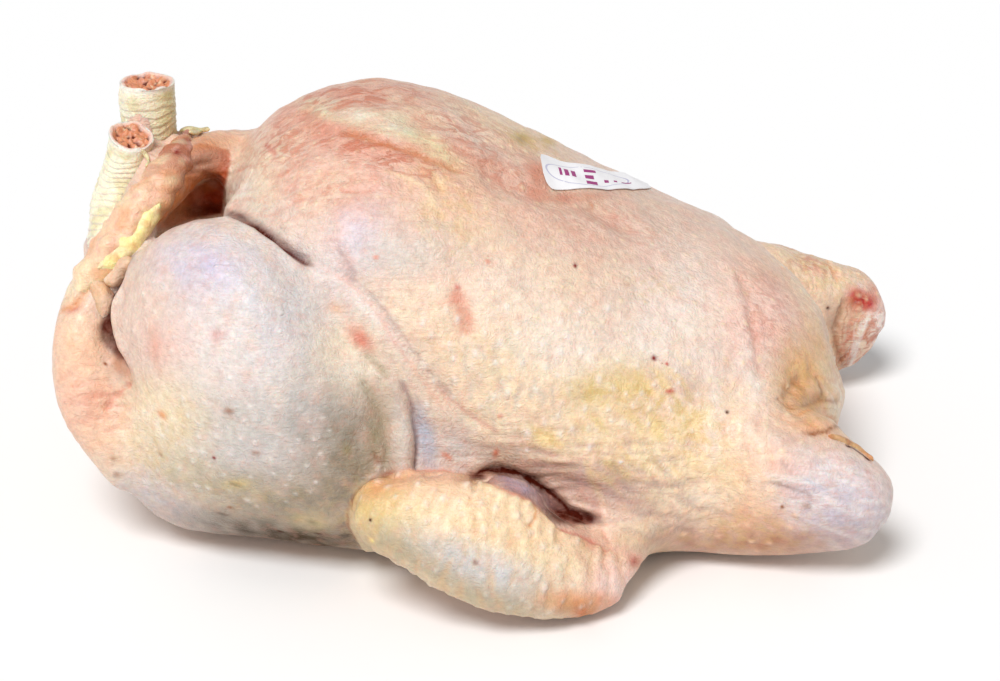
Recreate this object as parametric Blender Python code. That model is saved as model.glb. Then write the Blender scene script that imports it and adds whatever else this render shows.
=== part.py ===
"""A whole raw stewing hen, drawn, with its shanks tucked under the band of skin below the vent.

It lies on its back with the breast up and the neck end towards +X. Metres, +Z up. The origin is on the
table, under the middle of the bird.
"""

import math

import bmesh
import bpy
import numpy as np
from mathutils import Vector

# Every size below is in units of this many metres, which makes the hen 269 mm long.
UNIT = 0.0009

VOXEL = 2.2  # grid that fuses the soft masses
SOFTEN = 9  # smoothing passes over them
FINE_VOXEL = 1.76  # grid that fuses the crisper forms on
FINE_SOFTEN = 3
TABLE_CUT = 1.6  # how much the table flattens the underside
FLAT_WITHIN = 0.3  # what lies this near the table is on it
TRIANGLES = 10500  # of the finished hen
DOME_ANGLES = (80, 60, 40, 20)  # degrees, of the rings that close each end of a form

TAG_CLEARANCE = 0.9  # over the skin
TAG_THICKNESS = 0.5
TAG_CURL = 3.0  # how far the left end stands off the skin
TAG_CURLED_PART = 0.3  # of its length
TAG_STEPS_LONG = 16
TAG_STEPS_WIDE = 5
ABOVE_ALL = 1.0  # metres, higher than the bird

SKIN_COLOUR = (0.78, 0.58, 0.46)
SKIN_ROUGHNESS = 0.4
TAG_COLOUR = (0.9, 0.88, 0.88)
TAG_ROUGHNESS = 0.6

# A form is a list of stations: centre x, y, z, half width, half height.
TORSO = [
    (-84, 2, 106, 14, 10),
    (-79, 2, 101, 34, 26),
    (-70, 1, 93, 54, 44),
    (-54, 0, 85, 67, 60),
    (-35, -1, 78.5, 72, 71.5),
    (-8, -2, 72, 76, 72),
    (25, -2, 63.5, 76, 63.5),
    (60, 0, 54.5, 72, 52.5),
    (88, -1, 49, 62, 46),
    (108, -4, 44, 51, 38),
    (119, -6, 40, 41, 31),
]
CORE = [
    (-92, 0, 43, 38, 29),
    (-60, -2, 42, 50, 42),
    (0, 0, 44, 60, 43.5),
    (60, 0, 40, 58, 39),
    (92, -2, 37, 46, 32),
]
BREAST_FOLD = [
    (-20, -52, 70, 18, 20),
    (-4, -58, 62, 20, 18),
    (10, -62, 57, 20, 16),
    (25, -63, 52, 20, 15.5),
    (40, -62, 45, 21, 16),
    (56, -59, 41, 21, 18),
    (74, -56, 40, 20, 18),
]
NECK_SKIN = [
    (106, 12, 72, 9, 9),
    (113, 0, 64, 10, 10),
    (118, -12, 54, 10, 10),
    (120, -23, 44, 10, 10),
    (117, -33, 37, 10, 10),
    (109, -41, 34, 9, 9),
]
TAIL = [
    (-80, 0, 36, 50, 30),
    (-104, 0, 35, 40, 25),
    (-122, 0, 38, 26, 18),
    (-132, 0, 44, 15, 12),
]
VENT = [
    (-112, -2, 74, 15, 14),
    (-92, 0, 74, 18, 17),
    (-74, 2, 74, 17, 16),
]
NEAR_THIGH = [
    (-120, -38, 61, 12, 29),
    (-112, -42, 62, 22, 48),
    (-95, -46, 63.5, 33, 58),
    (-74, -49, 63.5, 38, 58.5),
    (-54, -52, 56.5, 38, 52),
    (-34, -54, 46, 35, 42.5),
    (-16, -56, 38, 28, 35),
]
NEAR_SHIN = [
    (-36, -42, 38, 26, 32),
    (-70, -40, 38, 28, 33),
    (-96, -36, 42, 24, 28),
    (-112, -34, 50, 18, 22),
]
NEAR_HOCK = [
    (-104, -46, 44, 17, 19),
    (-120, -42, 52, 14, 15),
    (-128, -33, 66, 12.5, 13),
    (-128, -22, 82, 11, 11),
]
NEAR_FLANK = [
    (-28, -62, 34, 24, 28),
    (-10, -66, 30, 26, 26),
    (8, -67, 26, 24, 22),
    (26, -66, 21, 23, 19),
    (44, -66, 27, 21, 21),
    (60, -62, 32, 21, 22),
    (76, -56, 34, 20, 20),
]
FAR_THIGH = [
    (-110, 42, 54, 14, 18),
    (-103, 45, 57, 24, 29),
    (-88, 48, 59, 33, 38),
    (-70, 50, 58, 37, 43),
    (-50, 52, 53, 38, 44),
    (-30, 52, 46, 35, 40),
    (-12, 52, 40, 28, 34),
]
FAR_SHIN = [
    (-44, 46, 38, 30, 34),
    (-80, 46, 38, 31, 34),
    (-104, 40, 42, 24, 28),
    (-118, 33, 50, 17, 20),
    (-122, 27, 66, 13, 14),
]
FAR_FLANK = [
    (-28, 62, 34, 24, 28),
    (-10, 66, 29, 26, 26),
    (10, 67, 24, 24, 22),
    (30, 65, 20, 23, 19),
    (54, 60, 22, 20, 20),
]
BAND = [
    (-110, -50, 36, 9, 12),
    (-122, -49, 43, 11, 14),
    (-131, -45, 56, 12.5, 14),
    (-134, -40, 70, 11.5, 13),
    (-132, -32, 84, 10, 11.5),
    (-124, -25, 99, 8.5, 10),
    (-114, -17, 112, 8, 9),
    (-104, -8, 120, 8, 8.5),
    (-96, 5, 122, 7.5, 8.5),
    (-89, 19, 119, 8, 9),
    (-78, 34, 110, 9, 11),
]
NEAR_SHANK = [
    (-118, 3, 131, 10.2, 10.2),
    (-121, 3, 120, 9.8, 9.8),
    (-125, 1, 105, 9.6, 9.6),
    (-128, -5, 88, 10, 10),
    (-128, -15, 74, 11, 11),
    (-124, -28, 62, 12, 12),
]
FAR_SHANK = [
    (-114, 19, 144, 11, 11),
    (-114, 19, 132, 10.6, 10.6),
    (-114, 20, 118, 10.6, 10.6),
    (-116, 21, 100, 11, 11),
    (-120, 24, 84, 12, 12),
    (-120, 30, 66, 13, 13),
]
NEAR_WING_ARM = [
    (70, -44, 38, 30, 30),
    (92, -54, 37, 27, 28),
    (108, -63, 34, 23, 25),
    (120, -68, 31, 19.5, 21.5),
    (127, -70, 29, 17, 19),
]
NEAR_WING_FOREARM = [
    (118, -66, 25, 16, 18),
    (98, -63, 21, 16, 17),
    (78, -60, 21, 16, 17),
    (60, -62, 21, 15, 16),
]
NEAR_WRIST_WEB = [
    (76, -54, 30, 20, 20),
    (62, -64, 28, 19, 19),
    (52, -77, 23, 14, 15),
    (47, -89, 18, 10, 11),
]
NEAR_WING_HAND = [
    (50, -92, 13, 8.5, 9.5),
    (40, -98, 15, 10.5, 13.5),
    (26, -103, 21, 12.5, 18),
    (10, -105, 30, 12.5, 22),
    (-5, -104, 35.5, 12.5, 21),
    (-20, -102, 38.5, 11, 16.5),
    (-31, -100, 39.5, 9, 12),
]
FAR_WING_ARM = [
    (66, 42, 48, 30, 32),
    (96, 56, 44, 24, 24),
    (124, 66, 38, 17, 18),
    (139, 70, 33, 15, 17),
]
FAR_WING_FOREARM = [
    (136, 68, 24, 14, 18),
    (112, 66, 20, 15, 17),
    (86, 64, 20, 16, 17),
    (60, 64, 20, 15, 16),
]
FAR_WRIST_WEB = [
    (76, 52, 30, 20, 20),
    (63, 62, 27, 18, 18),
    (53, 76, 23, 14, 15),
    (48, 87, 18, 10, 11),
]
FAR_WING_HAND = [
    (49, 88, 17, 8, 9),
    (40, 95, 17, 10.5, 13),
    (26, 101, 21, 12.5, 18),
    (10, 103, 28, 12.5, 21),
    (-5, 102, 33, 12.5, 19.5),
    (-20, 100, 36, 11, 15),
    (-31, 98, 37, 9, 11),
]
# The tag's corners seen from above: front left, front right, back right, back left.
TAG_CORNERS = [
    (25.7, -22.7),
    (63.9, 23.1),
    (55.0, 32.5),
    (22.8, -5.3),
]


def clear_scene():
    for obj in list(bpy.data.objects):
        bpy.data.objects.remove(obj)


def spline(stations, steps):
    """Catmull-Rom rows through the stations, with this many steps between two of them."""
    rows = np.array(stations, float)
    padded = np.vstack([2 * rows[0] - rows[1], rows, 2 * rows[-1] - rows[-2]])
    found = []
    for i in range(len(rows) - 1):
        a, b, c, d = padded[i : i + 4]
        for t in np.arange(steps) / steps:
            bend = (2 * a - 5 * b + 4 * c - d) * t * t + (3 * b - a - 3 * c + d) * t**3
            found.append(0.5 * (2 * b + (c - a) * t + bend))
    found.append(rows[-1])
    return np.array(found)


def rings_of(stations, up, sides, steps, round_ends, upright):
    """Rows of points round the form: elliptical rings, drawn in to a dome at each end.

    The rings stand square to the line of centres, or square to X if upright.
    """
    rows = spline(stations, steps)
    centres, sizes = rows[:, :3], rows[:, 3:5]
    tangents = np.gradient(centres, axis=0)
    if upright:
        tangents[:, 1:] = 0
    tangents /= np.linalg.norm(tangents, axis=1, keepdims=True)
    angles = np.linspace(0, 2 * math.pi, sides, endpoint=False)
    rings = []

    def ring(centre, tangent, size):
        across = np.cross(tangent, up)
        across /= np.linalg.norm(across)
        above = np.cross(across, tangent)
        wide = np.outer(np.cos(angles) * size[0], across)
        high = np.outer(np.sin(angles) * size[1], above)
        rings.append(centre + wide + high)

    dome = [math.radians(a) for a in DOME_ANGLES]
    reach = round_ends * sizes[0].min()
    for a in dome:
        ring(centres[0] - tangents[0] * reach * math.sin(a), tangents[0], sizes[0] * math.cos(a))
    for centre, tangent, size in zip(centres, tangents, sizes):
        ring(centre, tangent, size)
    reach = round_ends * sizes[-1].min()
    for a in reversed(dome):
        ring(centres[-1] + tangents[-1] * reach * math.sin(a), tangents[-1], sizes[-1] * math.cos(a))
    return rings


def form(name, stations, up=(0, 0, 1), sides=28, steps=5, round_ends=1.0, upright=False):
    """A closed mesh object lofted through the stations."""
    rings = rings_of(stations, np.array(up, float), sides, steps, round_ends, upright)
    points = [tuple(p * UNIT) for ring in rings for p in ring]
    faces = []
    for r in range(len(rings) - 1):
        for s in range(sides):
            n = (s + 1) % sides
            faces.append((r * sides + s, r * sides + n, (r + 1) * sides + n, (r + 1) * sides + s))
    last = (len(rings) - 1) * sides
    faces.append(tuple(range(sides))[::-1])
    faces.append(tuple(last + s for s in range(sides)))
    mesh = bpy.data.meshes.new(name)
    mesh.from_pydata(points, [], faces)
    obj = bpy.data.objects.new(name, mesh)
    bpy.context.scene.collection.objects.link(obj)
    return obj


def joined(name, parts):
    """The parts' meshes as one object, still overlapping."""
    points, faces = [], []
    for part in parts:
        start = len(points)
        points += [v.co.copy() for v in part.data.vertices]
        faces += [[start + i for i in p.vertices] for p in part.data.polygons]
        bpy.data.objects.remove(part)
    mesh = bpy.data.meshes.new(name)
    mesh.from_pydata(points, [], faces)
    obj = bpy.data.objects.new(name, mesh)
    bpy.context.scene.collection.objects.link(obj)
    return obj


def remesh(obj, voxel):
    fuse = obj.modifiers.new("fuse", "REMESH")
    fuse.mode = "VOXEL"
    fuse.voxel_size = voxel * UNIT


def smooth(obj, passes):
    relax = obj.modifiers.new("relax", "SMOOTH")
    relax.factor = 0.5
    relax.iterations = passes


def applied(obj):
    """The object with its modifiers' result as its own mesh."""
    bpy.context.view_layer.update()
    graph = bpy.context.evaluated_depsgraph_get()
    mesh = bpy.data.meshes.new_from_object(obj.evaluated_get(graph))
    obj.modifiers.clear()
    obj.data = mesh
    return obj


def hollowed(obj, cutter):
    """The object with the cutter's form taken out of it."""
    cutter.hide_render = True
    cutter.display_type = "WIRE"
    cut = obj.modifiers.new("hollow", "BOOLEAN")
    cut.operation = "DIFFERENCE"
    cut.object = cutter
    applied(obj)
    bpy.data.objects.remove(cutter)


def without_scraps(obj):
    """The object with only its largest shell left."""
    mesh = bmesh.new()
    mesh.from_mesh(obj.data)
    left = set(mesh.verts)
    shells = []
    while left:
        shell = set()
        edge = [left.pop()]
        while edge:
            v = edge.pop()
            shell.add(v)
            near = [e.other_vert(v) for e in v.link_edges]
            fresh = [n for n in near if n in left]
            left.difference_update(fresh)
            edge += fresh
        shells.append(shell)
    largest = max(shells, key=len)
    scraps = [v for v in mesh.verts if v not in largest]
    bmesh.ops.delete(mesh, geom=scraps, context="VERTS")
    mesh.to_mesh(obj.data)
    mesh.free()


def lay_on_table(obj, height):
    """Flattens what reaches below height and puts it at zero."""
    for v in obj.data.vertices:
        v.co.z = max(v.co.z - height * UNIT, 0.0)


def fewer_faces(obj, triangles):
    fewer = obj.modifiers.new("fewer", "DECIMATE")
    fewer.ratio = min(1.0, triangles / (2 * len(obj.data.polygons)))
    applied(obj)
    for v in obj.data.vertices:
        if v.co.z < FLAT_WITHIN * UNIT:
            v.co.z = 0.0


def centre_over_origin(obj):
    """Puts the middle of the base of the mesh's box at the origin, and returns the move that this took."""
    points = np.array([v.co for v in obj.data.vertices])
    middle = (points.min(axis=0) + points.max(axis=0)) / 2
    move = Vector((-middle[0], -middle[1], 0.0))
    for v in obj.data.vertices:
        v.co += move
    return move


def finish(obj, name, colour, roughness):
    """Names the object and gives it smooth shading and its own material."""
    obj.name = name
    obj.data.name = name
    obj.data.shade_smooth()
    material = bpy.data.materials.new(name)
    material.use_nodes = True
    shader = material.node_tree.nodes["Principled BSDF"]
    shader.inputs["Base Color"].default_value = (*colour, 1.0)
    shader.inputs["Roughness"].default_value = roughness
    shader.inputs["Metallic"].default_value = 0.0
    obj.data.materials.clear()
    obj.data.materials.append(material)


def flesh():
    """The soft masses, fused into one rounded body."""
    masses = [
        form("torso", TORSO, sides=48, round_ends=0.3, upright=True),
        form("near_thigh", NEAR_THIGH, round_ends=0.6, upright=True),
        form("near_shin", NEAR_SHIN),
        form("near_hock", NEAR_HOCK, up=(1, 0, 0.2)),
        form("far_thigh", FAR_THIGH, upright=True),
        form("far_shin", FAR_SHIN, up=(0, 1, 0)),
        form("tail", TAIL),
        form("core", CORE),
        form("near_arm", NEAR_WING_ARM),
        form("near_forearm", NEAR_WING_FOREARM),
        form("near_wrist_web", NEAR_WRIST_WEB),
        form("near_flank", NEAR_FLANK),
        form("far_arm", FAR_WING_ARM),
        form("far_forearm", FAR_WING_FOREARM),
        form("far_wrist_web", FAR_WRIST_WEB),
        form("far_flank", FAR_FLANK),
        form("neck_skin", NECK_SKIN),
    ]
    body = joined("body", masses)
    remesh(body, VOXEL)
    smooth(body, SOFTEN)
    applied(body)
    hollowed(body, form("vent", VENT))
    return body


def hen():
    """The body with the crisper forms fused on, flattened where it lies on the table."""
    forms = [
        flesh(),
        form("breast_fold", BREAST_FOLD),
        form("band", BAND, up=(0, 1, 0.6)),
        form("near_shank", NEAR_SHANK, up=(1, 0, 0), round_ends=0.15),
        form("far_shank", FAR_SHANK, up=(1, 0, 0), round_ends=0.15),
        form("near_hand", NEAR_WING_HAND, up=(0, 0.6, 1)),
        form("far_hand", FAR_WING_HAND, up=(0, -0.6, 1)),
    ]
    bird = joined("bird", forms)
    remesh(bird, FINE_VOXEL)
    smooth(bird, FINE_SOFTEN)
    applied(bird)
    without_scraps(bird)
    lay_on_table(bird, TABLE_CUT)
    fewer_faces(bird, TRIANGLES)
    finish(bird, "hen", SKIN_COLOUR, SKIN_ROUGHNESS)
    return bird


def tag(bird):
    """A paper label lying along the breast, its left end curling a little off the skin."""
    corners = [Vector((x * UNIT, y * UNIT, 0.0)) for x, y in TAG_CORNERS]
    front_left, front_right, back_right, back_left = corners
    mesh = bmesh.new()
    rows = []
    for i in range(TAG_STEPS_LONG + 1):
        u = i / TAG_STEPS_LONG
        row = []
        for j in range(TAG_STEPS_WIDE + 1):
            v = j / TAG_STEPS_WIDE
            plan = front_left.lerp(front_right, u).lerp(back_left.lerp(back_right, u), v)
            above = Vector((plan.x, plan.y, ABOVE_ALL))
            found, point, _, _ = bird.ray_cast(above, Vector((0.0, 0.0, -1.0)))
            curl = TAG_CURL * max(0.0, 1 - u / TAG_CURLED_PART) ** 2
            row.append(mesh.verts.new((plan.x, plan.y, point.z + (TAG_CLEARANCE + curl) * UNIT)))
        rows.append(row)
    for near, far in zip(rows, rows[1:]):
        for j in range(TAG_STEPS_WIDE):
            mesh.faces.new((near[j], far[j], far[j + 1], near[j + 1]))
    data = bpy.data.meshes.new("tag")
    mesh.to_mesh(data)
    mesh.free()
    label = bpy.data.objects.new("tag", data)
    bpy.context.scene.collection.objects.link(label)
    paper = label.modifiers.new("paper", "SOLIDIFY")
    paper.thickness = TAG_THICKNESS * UNIT
    paper.offset = 1.0
    finish(label, "tag", TAG_COLOUR, TAG_ROUGHNESS)
    return label


def main():
    clear_scene()
    bird = hen()
    label = tag(bird)
    move = centre_over_origin(bird)
    for v in label.data.vertices:
        v.co += move


main()
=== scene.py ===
"""The looks of a whole raw stewing hen that lies on its back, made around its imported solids.

The bird's skin is a finer copy of the solid. Its folds, follicles and colours are placed where they show in
the photograph: a place is a pixel of the 1000 by 681 picture, found on the solid along the camera's ray.
Lengths on the bird are in millimetres until the meshes are written in metres.
"""

import math
from dataclasses import dataclass
from functools import partial

import bmesh
import bpy
import numpy as np
from mathutils import Matrix, Vector
from mathutils.bvhtree import BVHTree
from mathutils.kdtree import KDTree


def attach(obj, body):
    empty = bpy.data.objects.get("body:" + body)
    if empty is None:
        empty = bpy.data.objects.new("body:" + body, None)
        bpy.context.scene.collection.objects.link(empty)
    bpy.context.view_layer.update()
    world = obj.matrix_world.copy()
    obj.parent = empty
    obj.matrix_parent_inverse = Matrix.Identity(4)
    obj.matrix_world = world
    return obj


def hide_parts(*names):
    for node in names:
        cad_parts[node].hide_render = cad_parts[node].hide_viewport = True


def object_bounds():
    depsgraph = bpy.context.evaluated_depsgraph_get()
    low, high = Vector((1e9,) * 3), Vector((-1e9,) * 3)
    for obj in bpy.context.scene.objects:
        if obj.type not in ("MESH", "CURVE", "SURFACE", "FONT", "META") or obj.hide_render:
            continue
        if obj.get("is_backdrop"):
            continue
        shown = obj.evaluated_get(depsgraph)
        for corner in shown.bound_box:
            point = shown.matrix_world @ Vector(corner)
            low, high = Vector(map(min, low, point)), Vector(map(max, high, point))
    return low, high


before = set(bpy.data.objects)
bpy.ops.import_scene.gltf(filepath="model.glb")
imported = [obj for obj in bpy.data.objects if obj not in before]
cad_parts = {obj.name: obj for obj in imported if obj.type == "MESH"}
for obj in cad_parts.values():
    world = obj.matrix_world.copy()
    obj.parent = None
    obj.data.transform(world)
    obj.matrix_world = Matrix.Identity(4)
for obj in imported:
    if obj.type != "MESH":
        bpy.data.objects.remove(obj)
cad_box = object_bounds()

# Camera: the photograph's size, the camera's place and its lens
PHOTO_WIDE, PHOTO_HIGH = 1000, 681
SENSOR_MM = 36.0
FOCAL_PIXELS = 3220.0
AIM = np.array([4.77, 1.13, 47.34])  # mm
DISTANCE = 1035.0  # mm
ELEVATION = math.radians(27)
FORWARD = np.array([0.0, math.cos(ELEVATION), -math.sin(ELEVATION)])
RIGHT = np.array([1.0, 0.0, 0.0])
UP = np.array([0.0, math.sin(ELEVATION), math.cos(ELEVATION)])
EYE = AIM - DISTANCE * FORWARD
MM_PER_PIXEL = DISTANCE / FOCAL_PIXELS

# The bird's middle plane, and what mirrors a direction in it
MIRROR_Y = 1.1  # mm
FLIP = np.array([1.0, -1.0, 1.0])

# Finding places on the surface, in mm
MISSED_REACH, MISSED_STEP = 150, 4  # where the surface is looked for along a ray that misses it
START_OFF = 0.6  # over the skin, where a ray from it starts
OVERHEAD = 300.0  # higher than everything
TURNED = (-0.2, 0.05)  # cosines to the camera between which a point comes into view

# Mesh of the skin
VOXEL = 2.75  # mm, before the side that the photograph shows is cut finer
SMOOTH_PASSES = 6
RELAX_PASSES = 40
SOFTEN_PASSES = 5
BACK_EDGE = 3  # mm over which a patch's back edge fades to either side
FAINT = 0.004  # share below which a patch leaves the skin as it is
SEEN = 0.01  # share below which a point counts as hidden

# Carving
LINE_END = 0.12  # share of a line's length over which it fades in at each end
LINE_REACH = 3  # times a line's width, its fall or its spread
PINCH_WIDER = 2.2  # times a line's width
PATCHY, PATCHY_WAVE = 0.2, 7.0  # how uneven a patch's tint is, and over how many mm
BENT, BENT_WAVE = 0.35, 16.0  # how far wrinkles wander in wavelengths, and over how many mm
OVAL_END = 1.9  # times an oval's size, where its wrinkles have ended
LUMPS = [(14.0, 0.3, 21), (6.5, 0.12, 22)]  # mm across, mm high, and the seed
LUMPS_FROM = (2, 12)  # mm over the table between which the lumps set in

# Spots
SPOT_REACH = 3.6  # mm, how far a follicle reaches
SPOTS_APART = 3.4  # mm
SPOT_CLEAR = (0.6, 1.8)  # mm nearer than the next spot, between which a point takes its spot's form
SPOT_FADES = (1.3, 1.9)  # radii from a spot's middle
SPOT_SIZES, SPOT_SHARES = (0.7, 1.25), (0.6, 1.2)
TOO_STEEP = 0.12  # cosine to the camera below which no follicle is set
SPOT_SEED = 7
WRINKLE_SEEDS = (40, 5)  # the first, and the step to the next

# Light
SKY = 0.43
SUN = 2.5

# Colours as they look in the photograph, in sRGB from 0 to 255
PALETTE = {
    "skin": (234, 204, 184),
    "peach": (246, 204, 170),
    "pink": (240, 186, 168),
    "rose": (222, 150, 126),
    "red": (196, 66, 56),
    "blood": (132, 20, 24),
    "cream": (248, 226, 186),
    "yellow": (238, 208, 136),
    "fat": (252, 236, 164),
    "white": (244, 238, 232),
    "lavender": (200, 190, 220),
    "grey": (200, 192, 184),
    "blue_grey": (184, 186, 198),
    "mauve": (156, 120, 116),
    "olive": (150, 134, 98),
    "green_cream": (226, 214, 168),
    "shank": (250, 243, 214),
    "shank_green": (208, 194, 124),
    "orange": (228, 152, 92),
    "brown": (148, 84, 40),
    # dark, maroon and umber serve as painted shade in creases, the vent and under the thigh, and as the
    # colour of specks, lines and the marrow
    "dark": (74, 20, 8),
    "maroon": (96, 30, 26),
    "umber": (62, 42, 16),
    "tan": (222, 178, 128),
    "cool": (214, 214, 218),
    "crimson": (190, 34, 46),
    "strand": (206, 150, 132),
    "rust": (206, 116, 48),
    "vent_flesh": (196, 146, 122),
    "deep_red": (172, 62, 20),
    "band_top": (176, 98, 70),
    "marrow": (216, 136, 92),
    "olive_cream": (206, 202, 156),
    # The next colour is used only for painted shade under the thigh
    "shade_olive_grey": (146, 134, 116),
    "squiggle": (204, 124, 96),
    "stain": (212, 178, 104),
    "hand_pink": (255, 214, 202),
    "elbow_grey": (176, 164, 180),
}


@dataclass
class Line:
    """A crease or ridge drawn on the skin. Its step stands its right side over its left one."""

    points: list  # pixels
    width: float  # mm
    lift: float = 0.0  # mm, below zero for a groove
    tint: str = ""
    share: float = 0.0
    spread: float = 1.2  # mm, half width of the tint
    step: float = 0.0  # mm
    fall: float = 6.0  # mm over which a step fades
    pinch: float = 0.0  # share of the distance by which the skin is drawn in
    mirrored: bool = False


@dataclass
class Patch:
    """An oval of the skin that takes a colour and rises or sinks."""

    at: tuple  # pixel
    size: tuple  # pixels, half length and half width
    turn: float = 0.0  # degrees, clockwise in the picture
    tint: str = ""
    share: float = 0.0
    lift: float = 0.0  # mm
    hard: float = 1.0  # 1 is soft, 3 has a clear edge
    within: list = None  # pixels of an outline that holds it
    edge: float = 2.0  # pixels over which that outline fades
    back: float = 1000.0  # mm along y, how far back it reaches
    mirrored: bool = True


@dataclass
class Bulge:
    """A swelling round a place on the bird's outline."""

    at: tuple  # pixel
    radius: float  # mm
    move: tuple  # mm, to the picture's right and up in it
    mirrored: bool = True


@dataclass
class Follicles:
    """Rows of bumps on an oval of the skin."""

    at: tuple
    size: tuple
    turn: float  # degrees, the rows' direction
    spacing: tuple  # pixels, along and between the rows
    radii: tuple  # mm, along and across the rows
    height: float  # mm
    tint: str
    share: float
    jitter: float = 0.25
    mirrored: bool = True


@dataclass
class Speck:
    """One small mark on the skin."""

    at: tuple
    radii: tuple  # mm
    turn: float
    tint: str
    share: float
    height: float = 0.0  # mm


@dataclass
class Wrinkles:
    """Fine uneven ridges along one direction on an oval of the skin."""

    at: tuple
    size: tuple
    turn: float
    wavelength: float  # mm
    stretch: float  # times as long as wide
    height: float  # mm
    tint: str = ""
    share: float = 0.0
    within: list = None
    mirrored: bool = True


def linear(srgb):
    """Linear light of an sRGB colour that runs to 255."""
    c = np.array(srgb, float) / 255
    return np.where(c <= 0.04045, c / 12.92, ((c + 0.055) / 1.055) ** 2.4)


def eased(low, high, x):
    """A smooth rise from 0 to 1 between two values."""
    t = np.clip((x - low) / (high - low), 0.0, 1.0)
    return t * t * (3 - 2 * t)


def pixels_of(points):
    """The photograph's pixels of points in mm, and their depths."""
    seen = points - EYE
    depth = seen @ FORWARD
    across = PHOTO_WIDE / 2 + FOCAL_PIXELS * (seen @ RIGHT) / depth
    down = PHOTO_HIGH / 2 - FOCAL_PIXELS * (seen @ UP) / depth
    return np.stack([across, down], axis=1), depth


def ray_through(pixel):
    ray = FORWARD * FOCAL_PIXELS + RIGHT * (pixel[0] - PHOTO_WIDE / 2) + UP * (PHOTO_HIGH / 2 - pixel[1])
    return ray / np.linalg.norm(ray)


def on_plane(pixel, y):
    """The point at this y on the camera's ray through the pixel."""
    ray = ray_through(pixel)
    return EYE + ray * ((y - EYE[1]) / ray[1])


class Surface:
    """The surface of meshes in mm, for finding places on it."""

    def __init__(self, *meshes):
        points, faces = [], []
        for mesh in meshes:
            start = len(points)
            points += [v.co * 1000 for v in mesh.vertices]
            faces += [tuple(start + i for i in p.vertices) for p in mesh.polygons]
        self.tree = BVHTree.FromPolygons(points, faces)

    def seen_at(self, pixel):
        """(place, normal) where the camera's ray through the pixel meets it, or passes nearest."""
        ray = ray_through(pixel)
        place, normal, _, _ = self.tree.ray_cast(Vector(EYE), Vector(ray))
        if place is None:
            away = np.arange(DISTANCE - MISSED_REACH, DISTANCE + MISSED_REACH, MISSED_STEP)
            found = (self.tree.find_nearest(Vector(EYE + ray * d)) for d in away)
            place, normal, _, _ = min(found, key=lambda f: f[3])
        return np.array(place), np.array(normal)

    def mirrored(self, place):
        """(place, normal) nearest to the mirror image of a place."""
        found = self.tree.find_nearest(Vector((place[0], 2 * MIRROR_Y - place[1], place[2])))
        return np.array(found[0]), np.array(found[1])

    def below(self, x, y):
        """The height of the highest point over this spot of the table."""
        return self.tree.ray_cast(Vector((x, y, OVERHEAD)), Vector((0.0, 0.0, -1.0)))[0].z

    def trace(self, pixels, spacing=6, mirrored=False):
        """Places and normals along a smooth line through the pixels."""
        found = [self.seen_at(p) for p in smooth_line(np.array(pixels, float), spacing)]
        if mirrored:
            found = [self.mirrored(place) for place, _ in found]
        return np.array([f[0] for f in found]), np.array([f[1] for f in found])

    def hides(self, points, normals, eye):
        """Which of the points something hides from the eye."""
        start = points + normals * START_OFF
        hidden = np.zeros(len(points), bool)
        for i in np.flatnonzero(((eye - points) * normals).sum(axis=1) > 0):
            way = Vector(eye - start[i])
            hidden[i] = self.tree.ray_cast(Vector(start[i]), way)[0] is not None
        return hidden


def smooth_line(points, spacing):
    """Points along the Catmull-Rom curve through the given ones, about this far apart."""
    padded = np.vstack([2 * points[0] - points[1], points, 2 * points[-1] - points[-2]])
    found = []
    for i in range(len(points) - 1):
        a, b, c, d = padded[i : i + 4]
        count = max(2, int(np.linalg.norm(c - b) / spacing))
        for t in np.arange(count) / count:
            bend = (2 * a - 5 * b + 4 * c - d) * t * t + (3 * b - a - 3 * c + d) * t**3
            found.append(0.5 * (2 * b + (c - a) * t + bend))
    found.append(points[-1])
    return np.array(found)


def along_line(values, count):
    """Values given at a line's places, at this many even steps along it."""
    return np.interp(np.linspace(0, len(values) - 1, count), np.arange(len(values)), values)


class View:
    """How the camera, or its mirror image, sees the skin's points."""

    def __init__(self, points, normals, mirrored):
        self.flip = FLIP if mirrored else np.ones(3)
        self.shift = np.array([0.0, 2 * MIRROR_Y if mirrored else 0.0, 0.0])
        self.eye = EYE * self.flip + self.shift
        seen = points * self.flip + self.shift
        self.pixels, _ = pixels_of(seen)
        self.depths = seen[:, 1]
        away = points - self.eye
        away /= np.linalg.norm(away, axis=1, keepdims=True)
        self.facing = eased(*TURNED, -(normals * away).sum(axis=1))
        self.gate = self.facing

    def oval(self, at, size, turn):
        """Distance from an oval's middle, 1 at its edge, and the place along and across it."""
        a = math.radians(turn)
        dx, dy = self.pixels[:, 0] - at[0], self.pixels[:, 1] - at[1]
        along = dx * math.cos(a) + dy * math.sin(a)
        across = dy * math.cos(a) - dx * math.sin(a)
        return np.hypot(along / size[0], across / size[1]), along, across


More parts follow.
